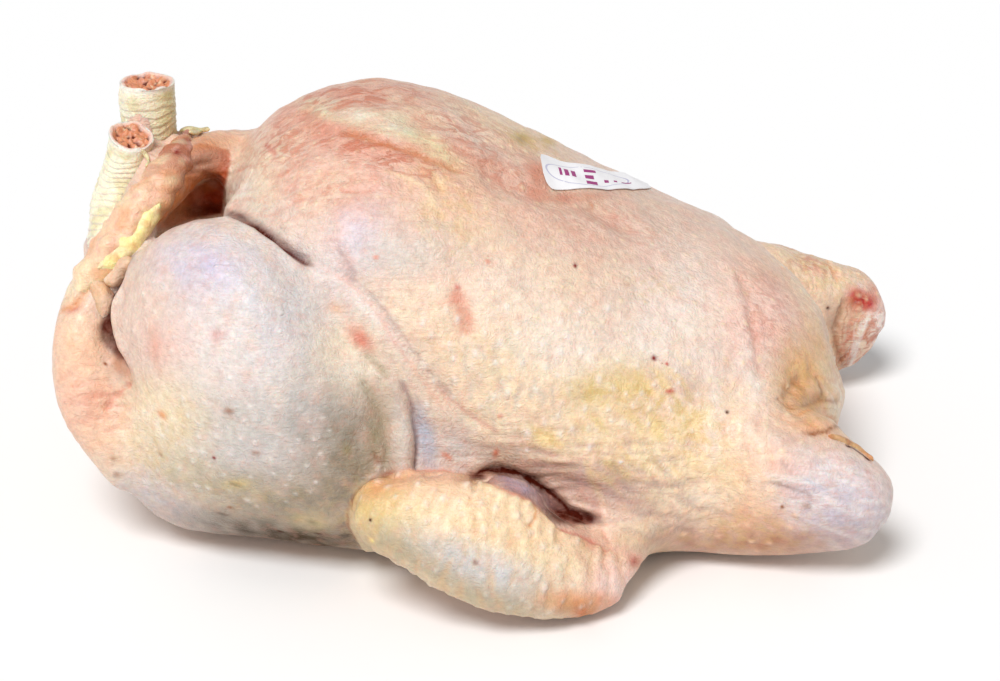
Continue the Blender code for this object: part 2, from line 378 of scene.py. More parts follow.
class Skin:
    """A mesh as arrays of points in mm, normals and colours."""

    def __init__(self, obj):
        self.obj = obj
        self.hidden = None
        self.read()

    def read(self):
        mesh = self.obj.data
        count = len(mesh.vertices)
        points = np.empty(count * 3)
        mesh.vertices.foreach_get("co", points)
        self.points = points.reshape(-1, 3) * 1000
        self.normals = self.read_normals()
        ends = np.empty(len(mesh.edges) * 2, int)
        mesh.edges.foreach_get("vertices", ends)
        self.ends = ends.reshape(-1, 2)
        self.degree = np.bincount(self.ends.ravel(), minlength=count).astype(float)

    def read_normals(self):
        normals = np.empty(len(self.obj.data.vertices) * 3)
        self.obj.data.vertex_normals.foreach_get("vector", normals)
        return normals.reshape(-1, 3)

    def write(self):
        """Puts the points into the mesh and looks at it again from the camera and its mirror image."""
        self.obj.data.vertices.foreach_set("co", (self.points / 1000).ravel())
        self.obj.data.update()
        self.normals = self.read_normals()
        self.views = [View(self.points, self.normals, True), View(self.points, self.normals, False)]
        if self.hidden is not None:
            for view, hidden in zip(self.views, self.hidden):
                view.gate = view.facing * (1 - hidden)
        self.views[0].gate = self.views[0].gate * (1 - self.views[1].gate)

    def spread(self, values, part):
        """The values, moved by this part towards the mean of their neighbours."""
        a, b = self.ends[:, 0], self.ends[:, 1]
        total = np.bincount(a, values[b], len(values)) + np.bincount(b, values[a], len(values))
        return values + (total / self.degree - values) * part

    def relax(self, passes, mask=1.0):
        """Evens the points out, where the mask says."""
        for _ in range(passes):
            self.points = np.stack([self.spread(self.points[:, i], 0.5 * mask) for i in range(3)], axis=1)

    def find_hidden(self):
        """Notes the points that something hides from the camera and from its mirror image."""
        surface = Surface(self.obj.data)
        self.hidden = []
        for view in self.views:
            hidden = surface.hides(self.points, self.normals, view.eye).astype(float)
            for _ in range(3):
                hidden = self.spread(hidden, 0.6)
            self.hidden.append(hidden)

    def views_for(self, mirrored):
        return self.views if mirrored else self.views[1:]

    def clear_notes(self):
        """Makes room for what the shader is told of lines and spots."""
        count = len(self.points)
        self.line_near = np.full(count, np.inf)
        self.line_place, self.line_tint = np.zeros((count, 3)), np.ones((count, 4))
        self.spot_place, self.spot_tint = np.zeros((count, 3)), np.zeros((count, 4))

    def tinted(self, where, tint, share):
        """Mixes the tint into the colours of these points."""
        share = np.clip(share, 0.0, 1.0)[:, None]
        self.colours[where] += (linear(PALETTE[tint]) - self.colours[where]) * share


def face_places(mesh):
    """The faces' middles in mm and their normals."""
    middles = np.empty(len(mesh.polygons) * 3)
    normals = np.empty(len(mesh.polygons) * 3)
    mesh.polygons.foreach_get("center", middles)
    mesh.polygons.foreach_get("normal", normals)
    return middles.reshape(-1, 3) * 1000, normals.reshape(-1, 3)


def refined(mesh, chosen):
    """Cuts each chosen face into four."""
    fine = bmesh.new()
    fine.from_mesh(mesh)
    fine.faces.ensure_lookup_table()
    edges = {e for i in np.flatnonzero(chosen) for e in fine.faces[i].edges}
    edges = sorted(edges, key=lambda e: e.index)
    bmesh.ops.subdivide_edges(fine, edges=edges, cuts=1, use_grid_fill=True, smooth=0.0)
    fine.to_mesh(mesh)
    fine.free()


def ripple(points, wavelength, seed, waves=14):
    """Smooth noise of about this wavelength in mm, mostly from -1 to 1."""
    rng = np.random.default_rng(seed)
    directions = rng.normal(size=(waves, points.shape[1]))
    directions /= np.linalg.norm(directions, axis=1, keepdims=True)
    turns = 2 * math.pi * directions / (wavelength * rng.uniform(0.75, 1.35, (waves, 1)))
    phases = rng.uniform(0, 2 * math.pi, waves)
    return np.cos(points @ turns.T + phases).sum(axis=1) / math.sqrt(waves / 2) / 1.6


def from_line(points, line, normals):
    """Distance, signed place to the right of the line, share of its length, and offset, for each point."""
    starts, ends = line[:-1], line[1:]
    spans = ends - starts
    lengths = np.maximum(np.linalg.norm(spans, axis=1), 1e-6)
    to_points = points[:, None, :] - starts[None]
    t = np.clip((to_points * spans).sum(axis=2) / lengths**2, 0.0, 1.0)
    nearest = starts[None] + spans[None] * t[:, :, None]
    apart = np.linalg.norm(points[:, None, :] - nearest, axis=2)
    best = apart.argmin(axis=1)
    rows = np.arange(len(points))
    sides = np.cross(spans, normals[:-1])
    sides /= np.maximum(np.linalg.norm(sides, axis=1, keepdims=True), 1e-6)
    offset = points - nearest[rows, best]
    signed = (offset * sides[best]).sum(axis=1)
    reached = np.concatenate([[0.0], np.cumsum(lengths)])
    share = (reached[best] + t[rows, best] * lengths[best]) / reached[-1]
    return apart[rows, best], signed, share, offset


def line_reach(skin, spec, surface, margin):
    """For each side that has the line: its points near it, and where they lie from it."""
    for mirrored in (False, True) if spec.mirrored else (False,):
        line, normals = surface.trace(spec.points, mirrored=mirrored)
        line, normals = even_out(line, 4), even_out(normals, 8)
        low, high = line.min(axis=0) - margin, line.max(axis=0) + margin
        where = np.flatnonzero(((skin.points > low) & (skin.points < high)).all(axis=1))
        if len(where):
            apart, signed, share, offset = from_line(skin.points[where], line, normals)
            ends = eased(0.0, LINE_END, share) * eased(0.0, LINE_END, 1 - share)
            yield where, apart, -signed if mirrored else signed, ends, offset


def carve_line(skin, spec, surface):
    """Moves the skin along one Line."""
    margin = LINE_REACH * max(spec.width, spec.fall if spec.step else 0.0)
    for where, apart, over, ends, offset in line_reach(skin, spec, surface, margin):
        move = spec.lift * np.exp(-((apart / spec.width) ** 2))
        if spec.step:
            move += spec.step * np.tanh(over / spec.width) * np.exp(-((apart / spec.fall) ** 2))
        moved = skin.normals[where] * (move * ends)[:, None]
        if spec.pinch:
            draw = spec.pinch * np.exp(-((apart / (PINCH_WIDER * spec.width)) ** 2)) * ends
            moved -= offset * draw[:, None]
        skin.points[where] += moved


def note_line(skin, spec, surface):
    """Notes for the shader how far each point lies from the Line, and the Line's tint."""
    spread = spec.spread
    for where, apart, over, ends, _ in line_reach(skin, spec, surface, LINE_REACH * (spread + 1)):
        near = apart / spread
        share = spec.share * ends * (1 - eased(2.0, 3.0 + 1.2 / spread, near))
        better = (near < skin.line_near[where]) & (share > 0)
        where = where[better]
        skin.line_near[where] = near[better]
        skin.line_place[where, 0] = over[better] / spread
        skin.line_place[where, 1] = share[better]
        skin.line_tint[where, :3] = linear(PALETTE[spec.tint])


def inside(pixels, outline, soft):
    """1 for the pixels within a closed outline, 0 outside, and in between over its soft edge."""
    corners = np.array(outline, float)
    ahead = np.roll(corners, -1, axis=0)
    within = np.zeros(len(pixels), bool)
    nearest = np.full(len(pixels), np.inf)
    x, y = pixels[:, 0], pixels[:, 1]
    for (ax, ay), (bx, by) in zip(corners, ahead):
        long, high = bx - ax, by - ay
        if high:
            within ^= ((ay > y) != (by > y)) & (x < long * (y - ay) / high + ax)
        t = np.clip(((x - ax) * long + (y - ay) * high) / (long**2 + high**2), 0, 1)
        nearest = np.minimum(nearest, np.hypot(x - ax - t * long, y - ay - t * high))
    return eased(-soft, soft, np.where(within, nearest, -nearest))


def oval_mask(view, spec):
    """How strongly each point that this view shows lies in the patch."""
    apart, _, _ = view.oval(spec.at, spec.size, spec.turn)
    mask = np.exp(-(apart ** (2 * spec.hard))) * view.gate
    mask *= eased(spec.back + BACK_EDGE, spec.back - BACK_EDGE, view.depths)
    if spec.within:
        where = np.flatnonzero(mask > FAINT)
        mask[where] *= inside(view.pixels[where], spec.within, spec.edge)
    return mask


def area_mask(skin, specs):
    """How strongly each point lies in one of the ovals."""
    mask = np.zeros(len(skin.points))
    for spec in specs:
        for view in skin.views_for(spec.mirrored):
            mask = np.maximum(mask, spec.share * oval_mask(view, spec))
    return mask


def swell(skin, spec, surface):
    """Moves the skin round a Bulge's place."""
    place, _ = surface.seen_at(spec.at)
    move = RIGHT * spec.move[0] + UP * spec.move[1]
    for view in skin.views_for(spec.mirrored):
        apart = np.linalg.norm(skin.points * view.flip + view.shift - place, axis=1) / spec.radius
        skin.points += np.exp(-(apart**2))[:, None] * move * view.flip


def lift_patch(skin, spec):
    for view in skin.views_for(spec.mirrored):
        mask = oval_mask(view, spec)
        where = np.flatnonzero(mask > FAINT)
        skin.points[where] += skin.normals[where] * (spec.lift * mask[where])[:, None]


def tint_patch(skin, spec):
    for view in skin.views_for(spec.mirrored):
        mask = oval_mask(view, spec)
        where = np.flatnonzero(mask > FAINT)
        patchy = 1 + PATCHY * ripple(skin.points[where], PATCHY_WAVE, 11)
        skin.tinted(where, spec.tint, spec.share * mask[where] * patchy)


def wrinkle(skin, spec, seed):
    """Folds the skin into fine ridges and tints the grooves between them."""
    for view in skin.views_for(spec.mirrored):
        apart, along, across = view.oval(spec.at, spec.size, spec.turn)
        where = np.flatnonzero((apart < OVAL_END) & (view.gate > SEEN))
        wander = BENT * spec.wavelength * ripple(skin.points[where], BENT_WAVE, seed + 1)
        across = across[where] * MM_PER_PIXEL + wander
        place = np.stack([along[where] * MM_PER_PIXEL / spec.stretch, across], axis=1)
        wave = ripple(place, spec.wavelength, seed)
        mask = np.exp(-(apart[where] ** 4)) * view.gate[where]
        if spec.within:
            mask *= inside(view.pixels[where], spec.within, 2.0)
        skin.points[where] += skin.normals[where] * (0.5 * spec.height * wave * mask)[:, None]
        if spec.tint:
            skin.tinted(where, spec.tint, spec.share * mask * np.clip(-wave, 0, 1))


def unit(vector):
    return vector / max(np.linalg.norm(vector), 1e-6)


def row_direction(turn):
    """The direction in space of a line that is turned so in the picture."""
    a = math.radians(turn)
    return RIGHT * math.cos(a) - UP * math.sin(a)


def follicle_places(surface, spec, rng):
    """(place, direction of the row, normal) of each follicle in the oval."""
    a = math.radians(spec.turn)
    row = np.array([math.cos(a), math.sin(a)])
    column = np.array([-math.sin(a), math.cos(a)])
    direction = row_direction(spec.turn)
    columns, rows = (int(max(spec.size) / s) for s in spec.spacing)
    for j in range(-rows, rows + 1):
        for i in range(-columns, columns + 1):
            jitter = rng.normal(0, spec.jitter, 2)
            u = (i + 0.5 * (j % 2) + jitter[0]) * spec.spacing[0]
            v = (j + jitter[1]) * spec.spacing[1]
            if math.hypot(u / spec.size[0], v / spec.size[1]) > rng.uniform(0.8, 1.15):
                continue
            place, normal = surface.seen_at(np.array(spec.at) + row * u + column * v)
            if normal @ -FORWARD < TOO_STEEP:
                continue
            yield place, direction, normal
            if spec.mirrored:
                image, image_normal = surface.mirrored(place)
                yield image, direction * FLIP, image_normal


# What the columns of a spot's row hold: directions, radii and height in mm, and tint with its share
ALONG, ACROSS, RADII, HEIGHT, TINT = slice(0, 3), slice(3, 6), slice(6, 8), 8, slice(9, 13)


def spot_row(direction, normal, radii, height, tint, share):
    along = unit(direction - normal * (direction @ normal))
    return [*along, *np.cross(normal, along), *radii, height, *linear(PALETTE[tint]), share]


def spot_rows(surface, rng):
    """The places of the specks and of the follicles between them, and their rows."""
    places, rows = [], []
    for spec in SPECKS:
        place, normal = surface.seen_at(spec.at)
        direction = row_direction(spec.turn)
        places.append(place)
        rows.append(spot_row(direction, normal, spec.radii, spec.height, spec.tint, spec.share))
    for spec in FOLLICLES:
        for place, direction, normal in follicle_places(surface, spec, rng):
            size = rng.uniform(*SPOT_SIZES)
            if min(np.linalg.norm(np.array(places) - place, axis=1)) < SPOTS_APART:
                continue
            share = spec.share * rng.uniform(*SPOT_SHARES)
            radii = np.array(spec.radii) * size
            places.append(place)
            rows.append(spot_row(direction, normal, radii, spec.height * size, spec.tint, share))
    return np.array(places), np.array(rows)


def raise_spots(skin, surface, rng):
    """Raises each follicle and speck, and notes for the shader where in it each point lies."""
    places, rows = spot_rows(surface, rng)
    tree = KDTree(len(places))
    for i, place in enumerate(places):
        tree.insert(place, i)
    tree.balance()
    found = [tree.find_n(point, 2) for point in skin.points]
    nearest = np.array([f[0][1] for f in found])
    distance, second = np.array([[f[0][2], f[1][2]] for f in found]).T
    where = np.flatnonzero(distance < SPOT_REACH)
    clear = eased(*SPOT_CLEAR, (second - distance)[where])
    row, offset = rows[nearest[where]], skin.points[where] - places[nearest[where]]
    radii = row[:, RADII]
    along = (offset * row[:, ALONG]).sum(axis=1) / radii[:, 0]
    across = (offset * row[:, ACROSS]).sum(axis=1) / radii[:, 1]
    rise = row[:, HEIGHT] * clear * np.exp(-(np.hypot(along, across) ** 2))
    skin.points[where] += skin.normals[where] * rise[:, None]
    fade = 1 - eased(*SPOT_FADES, distance[where] / np.maximum(radii.mean(axis=1), 0.8))
    skin.spot_place[where] = np.stack([along, across, clear * fade], axis=1)
    skin.spot_tint[where] = row[:, TINT]


# A piece of skin behind the shanks, as a flattened ball: middle and radii in mm
WEB = ((-95.0, 25.0, 88.0), (24.0, 4.5, 24.0))

# Outlines in the picture: the near wing's hand, the lobe of skin in the hollow over it, the crease between
# breast and thigh, the gap at the hock, and the vent. The deep ones hold the darkest colours, painted
# shade.
HAND = [(346, 522), (349, 506), (357, 492), (372, 481), (392, 474), (430, 470), (467, 474), (505, 491),
        (530, 500), (545, 512), (561, 529), (583, 539), (603, 548), (645, 560), (648, 600), (600, 634),
        (540, 632), (470, 616), (420, 586), (366, 552), (353, 539)]
LOBE = [(486, 478), (500, 473), (516, 476), (532, 482), (544, 492), (554, 504), (562, 514), (548, 511),
        (528, 500), (505, 489)]
CREASE = [(228, 209), (245, 213), (258, 219), (272, 228), (286, 240), (300, 253), (314, 266),
          (304, 264), (292, 256), (280, 247), (268, 239), (254, 230), (240, 223), (228, 218)]
CREASE_DEEP = [(226, 209), (240, 213.5), (257, 222), (270, 231), (281, 240.5), (294, 251), (313, 266),
               (292, 253.5), (279, 245), (267, 237), (254, 229.5), (238, 222.5), (226, 217)]
HOCK = [(105, 294), (108, 300), (109, 312), (111, 327), (116, 345), (122, 357), (129, 367), (134, 379),
        (130, 386), (120, 373), (110, 362), (102, 352), (96, 342), (95, 330), (99, 317), (102, 304)]
HOCK_DEEP = [(106, 300), (108, 310), (111, 326), (116, 344), (122, 356), (129, 367), (124, 365),
             (114, 357), (105, 347), (100, 338), (100, 327), (103, 312)]
VENT = [(184, 150), (200, 143), (229, 150), (231, 160), (228, 175), (225, 190), (223, 204), (222, 214),
        (205, 218), (180, 224), (158, 230), (156, 205), (170, 185), (180, 165)]
VENT_BACK = 34.0  # mm along y, the vent's far side

# Patches on the picture's side alone, those on the hand, and those in the vent
shown = partial(Patch, mirrored=False)
on_hand = partial(Patch, within=HAND)
in_vent = partial(Patch, within=VENT, back=VENT_BACK, mirrored=False)

# Where the folded wing's solid is too lumpy and is evened out
RELAXED = [
    Patch((690, 430), (75, 55)),
    Patch((600, 400), (60, 50)),
]

# The parts of the picture where the skin is cut finest
FINE_AREAS = [
    Patch((200, 190), (60, 75)),
    Patch((110, 320), (36, 110), -8),
    Patch((540, 495), (95, 42), 14),
    Patch((815, 400), (50, 60)),
    Patch((395, 420), (30, 75), -12),
    Patch((270, 240), (60, 26), 30),
]

# Where the carved creases are evened out afterwards
SOFTENED = [
    shown((540, 490), (80, 36), 20),
    shown((205, 180), (40, 40)),
    shown((830, 440), (50, 30)),
    shown((400, 400), (40, 60)),
    shown((98, 335), (22, 60), -10),
    shown((806, 375), (34, 52)),
    shown((385, 320), (60, 30), 50),
]

# Where the bird's outline in the picture is fuller or slimmer than the solid's
BULGES = [
    Bulge((142, 484), 17.0, (-1.0, -5.5)),
    Bulge((880, 322), 9.0, (3.5, 0.0)),
    Bulge((352, 520), 9.0, (-3.0, 0.0)),
    Bulge((640, 594), 6.0, (-2.5, 1.5)),
    Bulge((238, 207), 6.0, (-3.8, 0.0), mirrored=False),
    Bulge((120, 322), 8.0, (-1.0, 0.0), mirrored=False),
]

# Broad hollows and swellings
FORMS = [
    Patch((372, 432), (20, 50), 12, lift=-2.0),
    Patch((426, 440), (13, 42), -10, lift=-1.2),
    Patch((521, 489), (34, 13), 26, lift=3.0),
    Patch((553, 503), (18, 8), 45, lift=-2.4),
    Patch((477, 478), (10, 6), 0, lift=-2.4),
    shown((204, 166), (20, 14), 0, lift=-3.0),
    shown((204, 190), (18, 14), 0, lift=-2.0),
    shown((105, 338), (9, 42), -6, lift=-1.0),
    shown((395, 128), (90, 12), 20, lift=1.0),
    Patch((797, 372), (13, 26), 10, lift=-1.6),
    Patch((838, 398), (11, 20), lift=2.0),
    Patch((818, 426), (20, 8), lift=1.4),
    Patch((790, 404), (12, 22), 20, lift=-1.0),
    Patch((740, 320), (14, 60), -12, lift=0.8),
    Patch((804, 360), (9, 12), 0, lift=1.0),
    Patch((812, 388), (10, 9), 0, lift=1.0),
    Patch((798, 400), (10, 8), 0, lift=0.9),
    Patch((712, 420), (9, 76), 2, lift=0.8),
    shown((463, 308), (8, 26), -12, lift=-0.6),
    shown((872, 340), (12, 30), 22, lift=1.2),
]

# Creases, ridges and fine drawn lines
LINES = [
    # Between breast and thigh
    # Its maroon tint is painted shade in the crease under the thigh's edge
    Line([(228, 217), (245, 223), (262, 230), (273, 238), (284, 246), (298, 257), (313, 266)], 1.2,
          -2.6, "maroon", 0.7, 0.6, step=1.4, fall=4.0, mirrored=True),
    Line([(308, 262), (322, 266), (352, 286), (378, 313), (394, 342), (420, 378), (452, 420)], 1.3,
          -0.8, "rose", 0.35, 0.9, step=0.4, mirrored=True),
    Line([(330, 262), (356, 281), (384, 310), (408, 344), (434, 378), (462, 404)], 0.9, -0.6, "mauve",
          0.4, 0.8, mirrored=True),
    # Its olive tint is a painted shadow line at the left of the fold
    Line([(363, 352), (378, 364), (390, 378)], 1.0, -0.6, "olive", 0.5, 1.1, mirrored=True),
    Line([(430, 381), (455, 404), (479, 421), (504, 436)], 1.2, -0.8, "strand", 0.6, 1.0,
          mirrored=True),
    # Fold at the thigh's right
    Line([(366, 368), (388, 383), (402, 410), (406, 445), (405, 478)], 2.6, 2.0, mirrored=True),
    # The tints of the next two lines are painted shadow: mauve in the groove right of the fold, olive in
    # the hollow left of it
    Line([(398, 376), (408, 394), (416, 420), (418, 450), (416, 474)], 0.9, -2.0, "mauve", 0.65, 0.8,
          mirrored=True),
    Line([(356, 372), (370, 392), (384, 420), (388, 450), (384, 476)], 1.2, -1.0, "olive", 0.4, 1.6,
          mirrored=True),
    Line([(372, 451), (378, 458), (381, 466)], 0.8, -0.8, "brown", 0.4, 0.9),
    # The hollow over the hand, and the hand's edge
    # Its dark tint is painted shade in the crevice under the flank's overhang
    Line([(467, 479), (475, 475), (486, 470), (500, 467), (515, 472), (530, 477), (543, 486),
          (553, 496), (562, 507), (574, 515), (590, 517), (606, 517)], 1.1, -3.0, "dark", 1.15, 0.75,
          mirrored=True),
    Line([(392, 474), (410, 471.5), (430, 470.5), (450, 470.5), (467, 475), (483, 483), (505, 491),
          (530, 500), (545, 512), (561, 529), (583, 539), (603, 548), (626, 558)], 0.9, -0.9, "rose",
          0.75, 0.8, step=1.4, fall=4.0, mirrored=True),
    Line([(398, 473), (384, 476), (372, 481), (357, 492), (348, 507), (346, 522), (353, 538),
          (366, 550)], 0.9, -0.9, "brown", 0.65, 0.9, step=-1.7, fall=4.0, mirrored=True),
    Line([(561, 526), (572, 530), (588, 536), (600, 543)], 0.9, -0.9, "red", 0.4, 0.8, mirrored=True),
    Line([(531, 502), (536, 511), (535, 521), (529, 527)], 0.8, -0.8, "orange", 0.7, 0.6),
    # Hock and leg beside the thigh
    # Its dark tint is painted shadow where the thigh's edge overlaps the leg
    Line([(140, 249), (131, 263), (122, 283), (111, 294), (107, 308), (108, 324), (113, 341),
          (120, 354), (127, 365), (132, 377), (131, 386)], 1.1, -2.4, "dark", 1.0, 1.1, step=-1.2,
          fall=4.0, pinch=0.12),
    Line([(131, 383), (122, 389), (114, 394), (109, 403), (105, 414)], 0.9, -1.2, "rose", 0.7, 0.8),
    Line([(57, 312), (66, 310), (75, 306), (84, 292), (94, 278), (102, 270)], 0.9, -1.6, "orange", 0.6,
          0.9, step=-0.9, fall=3.0),
    Line([(89, 283), (98, 280), (105, 283), (110, 291)], 0.7, -0.9, "brown", 0.7, 0.6),
    Line([(100, 272), (112, 278), (124, 282)], 0.7, -0.8, "brown", 0.5, 0.7),
    Line([(63, 410), (76, 400), (92, 396), (116, 391)], 0.9, -0.5, "rose", 0.2, 0.7),
    Line([(66, 388), (86, 384), (106, 386), (126, 388)], 0.8, -0.4, "rose", 0.2, 0.6),
    # Breast
    Line([(338, 130), (352, 134), (371, 140), (387, 144), (403, 148), (430, 161), (465, 171)], 0.9,
          -1.0, "rust", 0.5, 1.5),
    Line([(468, 170), (500, 178), (530, 191), (562, 198), (602, 212), (645, 238)], 5.0, -1.8, "rose",
          0.3, 4.0),
    Line([(381, 170), (403, 176), (425, 189), (436, 211)], 0.9, 0.5, "cream", 0.5, 0.8),
    Line([(338, 190), (360, 194), (381, 186)], 0.9, -0.5, "rose", 0.5, 0.8),
    Line([(336, 243), (346, 262), (357, 276)], 0.8, -0.5, "mauve", 0.4, 0.8),
    Line([(262, 144), (271, 148), (278, 156)], 0.7, -0.5, "red", 0.5, 0.9),
    Line([(235, 172), (244, 167), (254, 166)], 0.6, -0.4, "rose", 0.6, 0.6),
    Line([(593, 200), (595, 208), (601, 216)], 0.8, -0.5, "rust", 0.45, 0.9),
    # Red streak on the flank
    Line([(452, 288), (460, 304), (467, 318), (471, 336)], 1.6, -0.5, "rose", 0.8, 2.4),
    # Neck end
    Line([(738, 268), (750, 305), (757, 350), (765, 385)], 1.6, -0.9, "rose", 0.4, 2.0),
    Line([(784, 400), (789, 388), (796, 379), (803, 376)], 1.2, -1.0, "brown", 0.4, 1.4),
    Line([(790, 418), (806, 412), (822, 414), (838, 420)], 0.9, -1.2, "orange", 0.6, 0.9),
    Line([(798, 431), (815, 435), (830, 433), (843, 424)], 1.0, -2.0, "brown", 0.9, 0.9),
    Line([(845, 443.5), (852, 446), (859, 450), (866, 455.5), (873, 462)], 0.7, -1.0, "dark", 1.0, 0.7),
    Line([(826, 398), (820, 388), (818, 374)], 0.8, -0.9, "brown", 0.5, 0.8),
    Line([(800, 408), (812, 400), (828, 399), (842, 404)], 0.8, -1.0, "brown", 0.5, 0.8),
    Line([(778, 396), (786, 404), (796, 408)], 0.8, -0.9, "brown", 0.4, 0.8),
    # Elbow
    # A crease on the elbow: the mauve line is painted shade under it, the white line a painted highlight
    # above it
    Line([(766, 481), (782, 486), (800, 491), (816, 498)], 0.8, -0.9, "mauve", 0.6, 0.8),
    Line([(762, 474), (780, 477), (800, 481)], 0.9, 0.7, "white", 0.35, 0.9),
    Line([(802, 478), (816, 484), (830, 494)], 0.8, -0.7, "blue_grey", 0.6, 0.8),
    Line([(790, 508), (806, 518), (828, 528), (850, 538)], 0.8, 0.6, "white", 0.2, 0.7),
    Line([(822, 492), (832, 506), (845, 512), (868, 516)], 0.8, 0.6, "white", 0.2, 0.7),
    # Far wing
    Line([(846, 292), (838, 318), (834, 345), (846, 372)], 1.1, -1.4, "brown", 0.6, 1.2),
    Line([(806, 240), (826, 262), (840, 285)], 1.0, -0.8, "orange", 0.5, 1.0),
    Line([(856, 300), (850, 322), (846, 344)], 0.8, -0.9, "rose", 0.6, 0.9),
    Line([(870, 308), (863, 328), (855, 350), (848, 372)], 0.8, 0.5, "white", 0.7, 0.8),
    Line([(862, 316), (855, 338), (849, 358)], 0.7, 0.4, "white", 0.5, 0.6),
]

